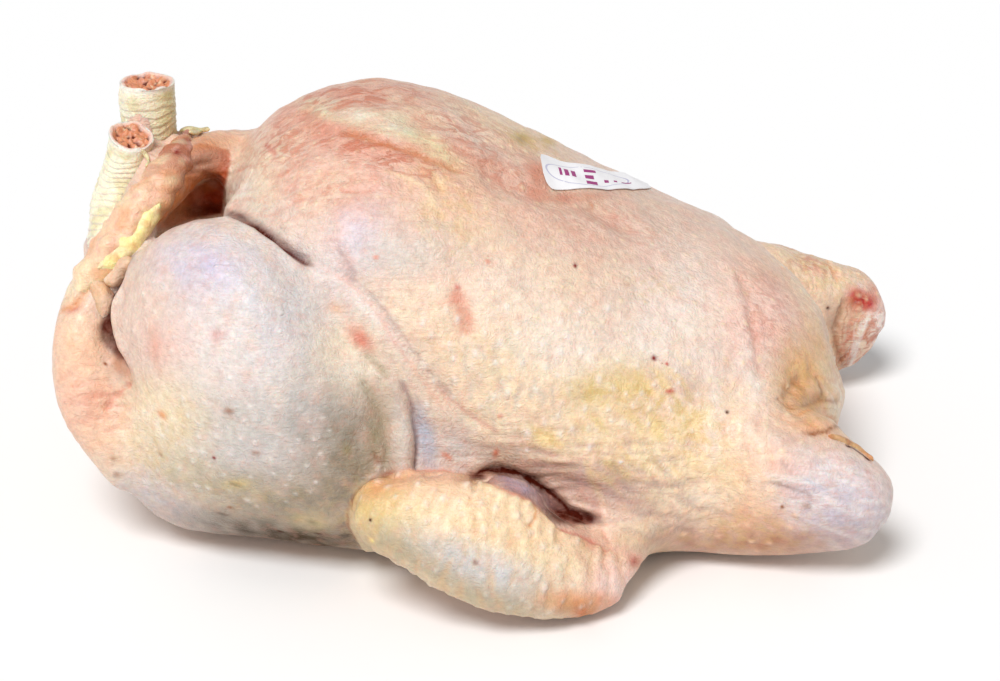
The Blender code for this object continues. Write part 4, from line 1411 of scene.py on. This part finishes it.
BAND = Ribbon(
    [(190, 134), (181, 146), (172, 161), (161, 178), (149, 196), (136, 214), (121, 235), (106, 256),
     (90, 277), (74, 297)],
    [3.4, 5.6, 6.4, 6.6, 6.8, 7.0, 7.0, 6.6, 5.4, 3.4], 2.6, 0.6, 300, bend=2.8, sink=2.8)
BAND_DOT, BAND_DOT_WIDE = (177, 152), 3.0  # pixels, a small wound on the band
FAT = Ribbon(
    [(160, 203), (154, 213), (147, 224), (139, 236), (130, 247), (118, 256), (106, 264), (98, 268)],
    [1.6, 2.8, 3.0, 3.2, 3.4, 3.2, 2.6, 1.2], 0.9, 0.1, 320, bend=0.9, lumps=0.4)
FLAP = Ribbon(
    [(828, 436), (838, 438), (847, 442), (856, 447), (865, 453), (873, 461)],
    [0.6, 1.0, 1.2, 1.3, 1.1, 0.5], 0.5, 0.25, 340, bend=0.3, lumps=0.3)
HOCK_FOLDS = [
    Ribbon([(130, 262), (122, 269), (114, 276), (104, 283)],
           [2.6, 3.4, 3.4, 2.4], 1.8, 0.2, 370, bend=1.2, lumps=0.4, sink=1.2),
    Ribbon([(90, 283), (98, 287), (104, 295), (105, 306), (102, 320)],
           [2.4, 3.6, 3.6, 2.8, 1.4], 1.8, 0.0, 373, bend=1.2, lumps=0.4, sink=1.8),
]
SHREDS = [
    Ribbon([(181, 133), (188, 128), (196, 129), (203, 125), (208, 121)],
           [0.9, 1.1, 0.8, 0.7, 0.4], 0.6, 0.8, 350, lumps=0.3),
    Ribbon([(188, 135), (194, 137), (201, 134)],
           [1.0, 1.2, 0.6], 0.6, 1.0, 353, lumps=0.3),
    Ribbon([(141, 149), (147, 156), (151, 163), (146, 168)],
           [0.6, 0.8, 0.7, 0.4], 0.5, 0.4, 356, lumps=0.2),
]
FACED = 0.5  # how far a strip turns to the camera
SINKS = (0.72, 1.0)  # shares of a strip's length over which its far end sinks


def even_out(values, passes=12):
    """A line's values, evened out between its ends."""
    for _ in range(passes):
        values[1:-1] += 0.5 * ((values[:-2] + values[2:]) / 2 - values[1:-1])
    return values


def ribbon(spec, surface):
    """The strip's points and faces, and each point's share of its length and place across it.

    Across runs from -1 to 1, towards the right hand of one who walks the path.
    """
    places, normals = surface.trace(spec.path, 2)
    places, normals = even_out(places), even_out(normals) - FORWARD * FACED
    tangents = np.gradient(places, axis=0)
    tangents /= np.linalg.norm(tangents, axis=1, keepdims=True)
    sides = np.cross(tangents, normals)
    sides /= np.linalg.norm(sides, axis=1, keepdims=True)
    normals = np.cross(sides, tangents)
    count = len(places)
    share = np.linspace(0, 1, count)
    blunt = np.sqrt(np.clip(1 - np.abs(2 * share - 1) ** 12, 0.02, 1))
    half = along_line(spec.widths, count) * blunt
    angles = -np.arange(RIBBON_SIDES) / RIBBON_SIDES * 2 * math.pi
    across = np.cos(angles)
    heights = spec.lift + np.outer(spec.thick * blunt, np.sin(angles)) - spec.bend * across**2
    heights -= spec.sink * eased(*SINKS, share)[:, None]
    outs = np.outer(half, across)
    rings = places[:, None] + sides[:, None] * outs[..., None] + normals[:, None] * heights[..., None]
    points = rings.reshape(-1, 3)
    away = points - np.repeat(places + normals * spec.lift, RIBBON_SIDES, axis=0)
    away /= np.maximum(np.linalg.norm(away, axis=1, keepdims=True), 1e-3)
    lumps = ripple(points, 8.0, spec.seed) + 0.5 * ripple(points, 3.5, spec.seed + 1)
    points = points + away * (spec.lumps * lumps)[:, None]
    points = np.vstack([points, rings[0].mean(axis=0), rings[-1].mean(axis=0)])
    share = np.append(np.repeat(share, RIBBON_SIDES), [0.0, 1.0])
    across = np.append(np.tile(across, count), [0.0, 0.0])
    return points, ring_faces(count, RIBBON_SIDES), share, across


def uneven(points, low, high, wavelength, seed):
    """Blotches: 0 where the noise is below low, 1 where it is over high."""
    return eased(low, high, ripple(points, wavelength, seed))


def band_skin(surface):
    """The strap of skin that holds the shanks."""
    points, faces, share, across = ribbon(BAND, surface)
    dot = np.linalg.norm(pixels_of(points)[0] - BAND_DOT, axis=1) / BAND_DOT_WIDE
    colours = layered(
        "peach", len(points),
        ("band_top", 0.95 * (1 - eased(0.08, 0.42, share)) * eased(-1.0, 0.0, -across + 0.6)),
        ("yellow", 0.6 * eased(0.3, 0.45, share) * eased(0.1, 0.8, -across)),
        ("orange", 0.5 * np.exp(-(((share - 0.33) / 0.1) ** 2)) * eased(0.2, -0.8, across)),
        ("orange", 0.45 * uneven(points, 0.0, 1.0, 9.0, 301)),
        ("cream", 0.5 * uneven(points, 0.0, 1.0, 7.0, 302)),
        ("pink", 0.5 * uneven(points, 0.2, 1.0, 5.0, 303)),
        ("brown", 0.5 * eased(-0.75, -1.0, across) * (1 - eased(0.35, 0.5, share))),
        ("cream", 0.6 * eased(0.8, 0.95, share)),
        ("blood", 0.9 * np.exp(-(dot**4))),
    )
    return piece_of("band_skin", points, faces, colours)


def band_fat(surface):
    """The streak of yellow fat on the band."""
    points, faces, _, _ = ribbon(FAT, surface)
    colours = layered(
        "fat", len(points),
        ("cream", 0.7 * uneven(points, 0.0, 1.0, 6.0, 321)),
        ("orange", 0.4 * uneven(points, 0.3, 1.0, 5.0, 322)),
    )
    return piece_of("band_fat", points, faces, colours)


def hock_folds(surface):
    """Two folds of skin between the band and the thigh."""
    strips = [ribbon(spec, surface) for spec in HOCK_FOLDS]
    points, faces = joined([strip[:2] for strip in strips])
    across = np.concatenate([strip[3] for strip in strips])
    colours = layered(
        "skin", len(points),
        ("tan", 0.6 * uneven(points, -0.4, 0.8, 7.0, 381)),
        ("grey", 0.5 * uneven(points, 0.0, 1.0, 6.0, 382)),
        ("white", 0.5 * uneven(points, 0.2, 1.0, 5.0, 383)),
        ("tan", 0.35),
        # Brown on the lower right edge of the folds is painted shade
        ("brown", 0.6 * eased(-0.3, -0.95, across)),
        ("orange", 0.25 * eased(0.5, 1.0, across)),
    )
    return piece_of("hock_folds", points, faces, colours)


def wing_skin_flap(surface):
    """The torn edge of skin between the neck end and the near wing's elbow."""
    points, faces, _, across = ribbon(FLAP, surface)
    colours = layered(
        "tan", len(points),
        ("rust", 0.45 * uneven(points, -0.6, 0.6, 6.0, 342)),
        ("brown", 0.5 * uneven(points, 0.0, 1.0, 4.0, 341)),
        ("peach", 0.7 * eased(-0.2, -0.9, across)),
    )
    return piece_of("wing_skin_flap", points, faces, colours)


def joined(parts):
    """Points and faces of several parts as one."""
    starts = np.cumsum([0] + [len(points) for points, _ in parts])
    faces = [tuple(i + start for i in face) for (_, some), start in zip(parts, starts) for face in some]
    return np.concatenate([points for points, _ in parts]), faces


def fat_shreds(surface):
    """Torn strings of fat that hang on the shanks."""
    points, faces = joined([ribbon(spec, surface)[:2] for spec in SHREDS])
    colours = layered("green_cream", len(points), ("olive", 0.4 * uneven(points, 0.0, 1.0, 4.0, 361)))
    return piece_of("fat_shreds", points, faces, colours)


def fine_copy(node):
    """A fine even copy of a node's mesh with the web fused on."""
    middle, radii = WEB
    made = bmesh.new()
    made.from_mesh(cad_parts[node].data)
    size = Matrix.Diagonal((*(np.array(radii) / 1000), 1.0))
    place = Matrix.Translation(Vector(middle) / 1000) @ size
    bmesh.ops.create_uvsphere(made, u_segments=32, v_segments=16, radius=1.0, matrix=place)
    mesh = bpy.data.meshes.new("hen_skin")
    made.to_mesh(mesh)
    made.free()
    obj = bpy.data.objects.new("hen_skin", mesh)
    bpy.context.scene.collection.objects.link(obj)
    fuse = obj.modifiers.new("fuse", "REMESH")
    fuse.mode = "VOXEL"
    fuse.voxel_size = VOXEL / 1000
    graph = bpy.context.evaluated_depsgraph_get()
    obj.data = bpy.data.meshes.new_from_object(obj.evaluated_get(graph))
    obj.modifiers.clear()
    return obj


def cut_finer(obj):
    """Cuts the faces that the camera sees finer, and those of the fine areas finer still."""
    middles, normals = face_places(obj.data)
    away = middles - EYE
    away /= np.linalg.norm(away, axis=1, keepdims=True)
    refined(obj.data, (-(normals * away).sum(axis=1) > 0.0) & (middles[:, 2] > 1.0))
    middles, normals = face_places(obj.data)
    view = View(middles, normals, False)
    chosen = np.zeros(len(middles), bool)
    for spec in FINE_AREAS:
        chosen |= (view.oval(spec.at, spec.size, spec.turn)[0] < 1) & (view.facing > 0.5)
    refined(obj.data, chosen)


def shaped_skin():
    """A fine copy of the hen with its broad forms."""
    obj = fine_copy("hen")
    skin = Skin(obj)
    skin.relax(SMOOTH_PASSES)
    skin.write()
    cut_finer(obj)
    skin.read()
    skin.relax(2)
    skin.write()
    for spec in RELAXED:
        skin.relax(RELAX_PASSES, np.maximum(*(oval_mask(view, spec) for view in skin.views)))
    tuck_in(skin, (NEAR_SHANK, FAR_SHANK))
    skin.write()
    surface = Surface(obj.data)
    for spec in BULGES:
        swell(skin, spec, surface)
    skin.write()
    skin.find_hidden()
    skin.write()
    for spec in FORMS:
        lift_patch(skin, spec)
    skin.write()
    return skin


def paint(skin):
    """The broad uneven colours, then the patches."""
    skin.colours = layered(
        "skin", len(skin.points),
        ("cream", 0.4 * uneven(skin.points, 0.0, 1.0, 30.0, 31)),
        ("pink", 0.35 * uneven(skin.points, 0.0, 1.0, 22.0, 32)),
        ("rose", 0.25 * uneven(skin.points, 0.1, 1.0, 6.0, 33)),
        ("cream", 0.3 * uneven(skin.points, 0.1, 1.0, 4.6, 34)),
        ("grey", 0.2 * uneven(skin.points, 0.2, 1.0, 8.0, 35)),
    )
    for spec in PATCHES:
        tint_patch(skin, spec)


def carve(skin):
    """Cuts the lines, and softens them in places."""
    surface = Surface(skin.obj.data)
    for spec in LINES:
        carve_line(skin, spec, surface)
    skin.relax(1)
    for spec in SOFTENED:
        skin.relax(SOFTEN_PASSES, oval_mask(skin.views[1], spec))
    skin.write()


def roughen(skin):
    """Adds wrinkles, spots and lumps."""
    surface = Surface(skin.obj.data)
    first, step = WRINKLE_SEEDS
    for i, spec in enumerate(WRINKLES):
        wrinkle(skin, spec, first + step * i)
    raise_spots(skin, surface, np.random.default_rng(SPOT_SEED))
    lumps = sum(high * ripple(skin.points, wide, seed) for wide, high, seed in LUMPS)
    skin.points += skin.normals * (lumps * eased(*LUMPS_FROM, skin.points[:, 2]))[:, None]
    skin.points[:, 2] = np.maximum(skin.points[:, 2], 0.0)
    skin.write()


def made_skin():
    """The whole skin, with all that the shader reads at its points."""
    skin = shaped_skin()
    skin.clear_notes()
    surface = Surface(skin.obj.data)
    for spec in LINES:
        if spec.tint:
            note_line(skin, spec, surface)
    paint(skin)
    carve(skin)
    masks = [area_mask(skin, specs) for specs in (FIBRES, FLUSHED, STAINED)]
    roughen(skin)
    mesh = skin.obj.data
    put_colours(mesh, "skin_colour", skin.colours)
    put_colours(mesh, "spot_tint", skin.spot_tint)
    put_colours(mesh, "line_tint", skin.line_tint)
    put_vectors(mesh, "spot_place", skin.spot_place)
    put_vectors(mesh, "texture_share", np.stack(masks, axis=1))
    put_vectors(mesh, "line_place", skin.line_place)
    mesh.shade_smooth()
    return skin.obj


def put_colours(mesh, name, colours):
    values = np.ones((len(mesh.vertices), 4), np.float32)
    values[:, : colours.shape[1]] = np.clip(colours, 0, 1)
    mesh.color_attributes.new(name, "FLOAT_COLOR", "POINT").data.foreach_set("color", values.ravel())


def put_vectors(mesh, name, vectors):
    layer = mesh.attributes.new(name, "FLOAT_VECTOR", "POINT")
    layer.data.foreach_set("vector", vectors.astype(np.float32).ravel())


class Nodes:
    """Short ways of making shader nodes."""

    def __init__(self, name):
        self.material = bpy.data.materials.new(name)
        self.material.use_nodes = True
        self.tree = self.material.node_tree
        self.shader = self.tree.nodes["Principled BSDF"]

    def set(self, socket, value):
        if isinstance(value, bpy.types.NodeSocket):
            self.tree.links.new(value, socket)
        else:
            socket.default_value = value

    def add(self, kind, **inputs):
        made = self.tree.nodes.new("ShaderNode" + kind)
        for name, value in inputs.items():
            self.set(made.inputs[name.replace("_", " ")], value)
        return made

    def maths(self, operation, *values):
        made = self.tree.nodes.new("ShaderNodeMath")
        made.operation = operation
        for socket, value in zip(made.inputs, values):
            self.set(socket, value)
        return made.outputs[0]

    def mix(self, share, a, b):
        made = self.tree.nodes.new("ShaderNodeMix")
        made.data_type = "RGBA"
        self.set(made.inputs[0], share)
        self.set(made.inputs[6], a)
        self.set(made.inputs[7], b)
        return made.outputs[2]

    def attribute(self, name):
        made = self.tree.nodes.new("ShaderNodeAttribute")
        made.attribute_name = name
        return made

    def parts(self, vector):
        return self.add("SeparateXYZ", Vector=vector).outputs

    def times(self, a, b):
        return self.maths("MULTIPLY", a, b)

    def noise(self, vector, scale, detail, roughness=0.5, distortion=0.0):
        settings = {"Scale": scale, "Detail": detail, "Roughness": roughness, "Distortion": distortion}
        return self.add("TexNoise", Vector=vector, **settings).outputs["Fac"]

    def ranged(self, value, low, high, new_low, new_high):
        limits = {"From_Min": low, "From_Max": high, "To_Min": new_low, "To_Max": new_high}
        return self.add("MapRange", Value=value, **limits).outputs["Result"]

    def hill(self, *places):
        """1 in the middle and falling off like a bell with the distance that the places give."""
        squares = [self.maths("MULTIPLY", p, p) for p in places]
        total = squares[0] if len(squares) == 1 else self.maths("ADD", *squares)
        return self.maths("EXPONENT", self.maths("MULTIPLY", total, -1.0))


# Noises as (scale, detail, roughness, distortion), the last ones where they differ from Nodes.noise's own
MOTTLE = (480.0, 4.0, 0.65)
WARM = (260.0, 3.0, 0.6)
RAGGED = (330.0, 3.0, 0.6)
STRANDS = (1.0, 4.0, 0.6)
CURLS = (1.0, 4.0, 0.62, 0.9)
CRINKLES = (380.0, 2.0, 0.55, 2.0)
FINE = (1100.0, 3.0)
WET = (70.0, 3.0)
STRANDS_SCALE = (120.0, 980.0, 980.0)
CURLS_SCALE = (150.0, 330.0, 330.0)


def skin_material():
    """Mottled skin with strands, streaks, stains, drawn lines and spots, moist where it is not dark."""
    nodes = Nodes("raw_skin")
    shader = nodes.shader
    place = nodes.add("TexCoord").outputs["Object"]
    mottle = nodes.noise(place, *MOTTLE)
    warm = nodes.noise(place, *WARM)
    ragged = nodes.noise(place, *RAGGED)
    grain = nodes.noise(nodes.add("Mapping", Vector=place, Scale=STRANDS_SCALE).outputs[0], *STRANDS)
    curly = nodes.noise(nodes.add("Mapping", Vector=place, Scale=CURLS_SCALE).outputs[0], *CURLS)
    fine = nodes.noise(place, *FINE)
    crinkle = nodes.ranged(nodes.noise(place, *CRINKLES), 0.35, 0.65, 0.0, 1.0)

    # The mesh's colour, mottled
    scaled = nodes.tree.nodes.new("ShaderNodeVectorMath")
    scaled.operation = "SCALE"
    nodes.set(scaled.inputs[0], nodes.attribute("skin_colour").outputs["Color"])
    nodes.set(scaled.inputs["Scale"], nodes.ranged(mottle, 0.25, 0.75, 0.83, 1.15))
    colour = scaled.outputs[0]

    # Rosy clouds everywhere, and stains, squiggles and strands in their areas
    strands, squiggles, stains = nodes.parts(nodes.attribute("texture_share").outputs["Vector"])
    squiggle = nodes.times(squiggles, nodes.ranged(curly, 0.47, 0.58, 0.0, 1.0))
    for tint, share in (
        ("rose", nodes.ranged(warm, 0.5, 0.72, 0.0, 0.22)),
        ("stain", nodes.times(stains, nodes.ranged(ragged, 0.44, 0.6, 0.0, 0.75))),
        ("squiggle", squiggle),
        ("strand", nodes.times(strands, nodes.ranged(grain, 0.5, 0.68, 0.0, 0.6))),
    ):
        colour = nodes.mix(share, colour, (*linear(PALETTE[tint]), 1.0))

    # Drawn lines, with a ragged edge and an uneven strength
    across, strength, _ = nodes.parts(nodes.attribute("line_place").outputs["Vector"])
    off = nodes.maths("ADD", across, nodes.ranged(ragged, 0.3, 0.7, -0.45, 0.45))
    share = nodes.times(strength, nodes.hill(off))
    share = nodes.times(share, nodes.ranged(warm, 0.38, 0.52, 0.65, 1.0))
    colour = nodes.mix(share, colour, nodes.attribute("line_tint").outputs["Color"])

    # Spots
    spot_x, spot_y, high = nodes.parts(nodes.attribute("spot_place").outputs["Vector"])
    spot_tint = nodes.attribute("spot_tint").outputs
    spot = nodes.times(nodes.hill(spot_x, spot_y), high)
    colour = nodes.mix(nodes.times(spot, spot_tint["Alpha"]), colour, spot_tint["Color"])
    nodes.set(shader.inputs["Base Color"], colour)

    # Bumps as (strength, metres, height), each on the one before
    bumps = [(0.4, 0.0005, crinkle), (0.3, 0.0004, fine), (0.45, 0.0007, grain), (0.5, 0.0005, squiggle),
             (0.7, 0.0003, spot)]
    normal = None
    for strength, metres, height in bumps:
        below = {"Normal": normal} if normal else {}
        normal = nodes.add("Bump", Strength=strength, Distance=metres, Height=height, **below).outputs[0]
    nodes.set(shader.inputs["Normal"], normal)

    shader.inputs["Subsurface Weight"].default_value = 0.3
    shader.inputs["Subsurface Radius"].default_value = (1.0, 0.4, 0.25)
    shader.inputs["Subsurface Scale"].default_value = 0.002
    wet = nodes.noise(place, *WET)
    nodes.set(shader.inputs["Roughness"], nodes.ranged(wet, 0.3, 0.7, 0.3, 0.52))
    light = nodes.ranged(nodes.add("RGBToBW", Color=colour).outputs[0], 0.04, 0.3, 0.05, 1.0)
    nodes.set(shader.inputs["Specular IOR Level"], nodes.times(light, 0.45))
    nodes.set(shader.inputs["Coat Weight"], nodes.times(light, 0.18))
    shader.inputs["Coat Roughness"].default_value = 0.28
    return nodes.material


def plain_material(name, colour, roughness):
    nodes = Nodes(name)
    nodes.shader.inputs["Base Color"].default_value = (*linear(colour), 1.0)
    nodes.shader.inputs["Roughness"].default_value = roughness
    return nodes.material


def paper_material():
    nodes = Nodes("label_paper")
    place = nodes.add("TexCoord").outputs["Object"]
    fibres = nodes.noise(place, 900.0, 4.0)
    tone = nodes.mix(fibres, (*linear((250, 248, 251)), 1.0), (*linear((255, 254, 255)), 1.0))
    nodes.set(nodes.shader.inputs["Base Color"], tone)
    bump = nodes.add("Bump", Strength=0.2, Distance=0.0001, Height=fibres)
    nodes.set(nodes.shader.inputs["Normal"], bump.outputs[0])
    nodes.shader.inputs["Roughness"].default_value = 0.5
    return nodes.material


# The label: where its corners lie in the picture, and its size
LABEL_LEFT_TOP, LABEL_LEFT_LOW, LABEL_RIGHT_LOW = (538, 158), (545, 191), (653, 191)
LABEL_WIDE = 15.0  # mm, from the edge in front to the one behind
LABEL_ROUND = 0.3  # its rounded corners, as a share of its width
LABEL_OVER = 0.45  # mm over the skin
LABEL_THICK = 0.22  # mm
LABEL_CURL = 1.6  # mm
LABEL_STEPS = (60, 24)

# Generic print: bars as (u from, u to, v from, v to)
PRINT_BARS = [
    (0.16, 0.185, 0.34, 0.62), (0.21, 0.25, 0.34, 0.62), (0.275, 0.315, 0.34, 0.62),
    (0.40, 0.50, 0.14, 0.28), (0.40, 0.48, 0.38, 0.50), (0.40, 0.51, 0.60, 0.70),
    (0.57, 0.61, 0.26, 0.36), (0.66, 0.69, 0.30, 0.38), (0.73, 0.82, 0.30, 0.34),
]
PRINT_LIFT, PRINT_THICK = 0.24, 0.05  # mm


class Label:
    """Places on the label: u runs along it from the left end, v from its front edge to the back."""

    def __init__(self, surface):
        self.surface = surface
        self.front = even_out(surface.trace((LABEL_LEFT_LOW, LABEL_RIGHT_LOW), 4)[0], 30)
        self.across = unit((surface.seen_at(LABEL_LEFT_TOP)[0] - self.front[0])[:2]) * LABEL_WIDE

    def at(self, u, v, lift):
        step = u * (len(self.front) - 1)
        front = np.array([np.interp(step, range(len(self.front)), self.front[:, i]) for i in range(2)])
        plan = front + self.across * v
        curl = LABEL_CURL * max(0.0, 1 - u / 0.25) ** 2 * (0.4 + v)
        return np.array([*plan, self.surface.below(*plan) + LABEL_OVER + curl + lift])

    def sheet(self, u_range, v_range, steps, lift, thick, rounded=0.0):
        """A thin sheet over these shares of the label."""
        corner = rounded * LABEL_WIDE / np.linalg.norm(self.front[-1] - self.front[0])
        top, low = [], []
        for u in np.linspace(*u_range, steps[0] + 1):
            end = min(u - u_range[0], u_range[1] - u)
            notch = rounded * (1 - math.sqrt(1 - max(0.0, 1 - end / corner) ** 2)) if rounded else 0.0
            for v in np.linspace(v_range[0] + notch, v_range[1] - notch, steps[1] + 1):
                top.append(self.at(u, v, lift + thick))
                low.append(self.at(u, v, lift))
        row, count = steps[1] + 1, len(top)
        faces = []
        for i in range(steps[0]):
            for j in range(steps[1]):
                a, b = i * row + j, (i + 1) * row + j
                faces.append((a, b, b + 1, a + 1))
                faces.append((count + a, count + a + 1, count + b + 1, count + b))
        rim = [i * row for i in range(steps[0] + 1)]
        rim += [steps[0] * row + j for j in range(1, row)]
        rim += [i * row + row - 1 for i in range(steps[0] - 1, -1, -1)]
        rim += range(row - 2, 0, -1)
        faces += [(a, count + a, count + b, b) for a, b in zip(rim, rim[1:] + rim[:1])]
        return np.array(top + low), faces

    def oval(self, middle, size, thin, lift):
        """A thin line round an oval."""
        points = []
        for a in np.arange(73) * math.pi / 36:
            for part in (1.0, 1 - thin):
                u = middle[0] + size[0] * part * math.cos(a)
                points.append(self.at(u, middle[1] + size[1] * part * math.sin(a), lift))
        return np.array(points), [(2 * i, 2 * i + 2, 2 * i + 3, 2 * i + 1) for i in range(72)]


def label(surface):
    """The paper label and its print of plain bars in an oval line."""
    place = Label(surface)
    sheet = place.sheet((0, 1), (0, 1), LABEL_STEPS, 0.0, LABEL_THICK, LABEL_ROUND)
    paper = piece_of("label_sheet", *sheet, None)
    paper.data.shade_smooth()
    paper.data.set_sharp_from_angle(angle=math.radians(50))
    bars = joined([place.sheet(bar[:2], bar[2:], (4, 3), PRINT_LIFT, PRINT_THICK) for bar in PRINT_BARS])
    print_bars = piece_of("label_print", *bars, None)
    print_oval = piece_of("label_oval", *place.oval((0.42, 0.45), (0.39, 0.36), 0.045, PRINT_LIFT), None)
    looks = [paper_material(), plain_material("label_ink", (168, 60, 128), 0.6),
             plain_material("label_oval_ink", (206, 204, 226), 0.6)]
    for obj, look in zip((paper, print_bars, print_oval), looks):
        obj.data.materials.append(look)
        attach(obj, "root")
        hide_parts("tag")


def floor():
    bpy.ops.mesh.primitive_plane_add(size=12.0, location=(0, 0, 0))
    plane = bpy.context.object
    plane.name = "floor"
    plane.data.materials.append(plain_material("floor", (248, 248, 248), 0.8))
    plane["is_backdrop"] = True


def lights():
    world = bpy.data.worlds.new("studio")
    bpy.context.scene.world = world
    world.use_nodes = True
    background = world.node_tree.nodes["Background"]
    background.inputs["Color"].default_value = (1.0, 1.0, 1.0, 1.0)
    background.inputs["Strength"].default_value = SKY
    data = bpy.data.lights.new("sun", "SUN")
    data.energy = SUN
    data.angle = math.radians(24)
    light = bpy.data.objects.new("sun", data)
    light.rotation_mode = "QUATERNION"
    light.rotation_quaternion = Vector((-0.3, -0.7, 1.1)).to_track_quat("Z", "Y")
    bpy.context.scene.collection.objects.link(light)
    bpy.context.scene.view_settings.view_transform = "Standard"


def camera():
    data = bpy.data.cameras.new("camera")
    data.sensor_width = SENSOR_MM
    data.lens = FOCAL_PIXELS / PHOTO_WIDE * SENSOR_MM
    made = bpy.data.objects.new("camera", data)
    made.location = EYE / 1000
    made.rotation_mode = "QUATERNION"
    made.rotation_quaternion = Vector(FORWARD).to_track_quat("-Z", "Y")
    bpy.context.scene.collection.objects.link(made)
    bpy.context.scene.camera = made


def main():
    material = skin_material()
    skin = made_skin()
    surface = Surface(skin.data)
    shanks = [shank_end("near_shank_end", NEAR_SHANK), shank_end("far_shank_end", FAR_SHANK)]
    band = band_skin(surface)
    dressed = Surface(skin.data, band.data, *(shank.data for shank in shanks))
    pieces = [skin, *shanks, band, band_fat(dressed), wing_skin_flap(surface), fat_shreds(dressed),
              hock_folds(surface)]
    for piece in pieces:
        piece.data.materials.clear()
        piece.data.materials.append(material)
        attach(piece, "root")
        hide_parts("hen")
    label(surface)
    camera()
    lights()
    floor()


main()
boxes = {"cad": cad_box, "visual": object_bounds()}
{name: [list(corner) for corner in box] for name, box in boxes.items()}
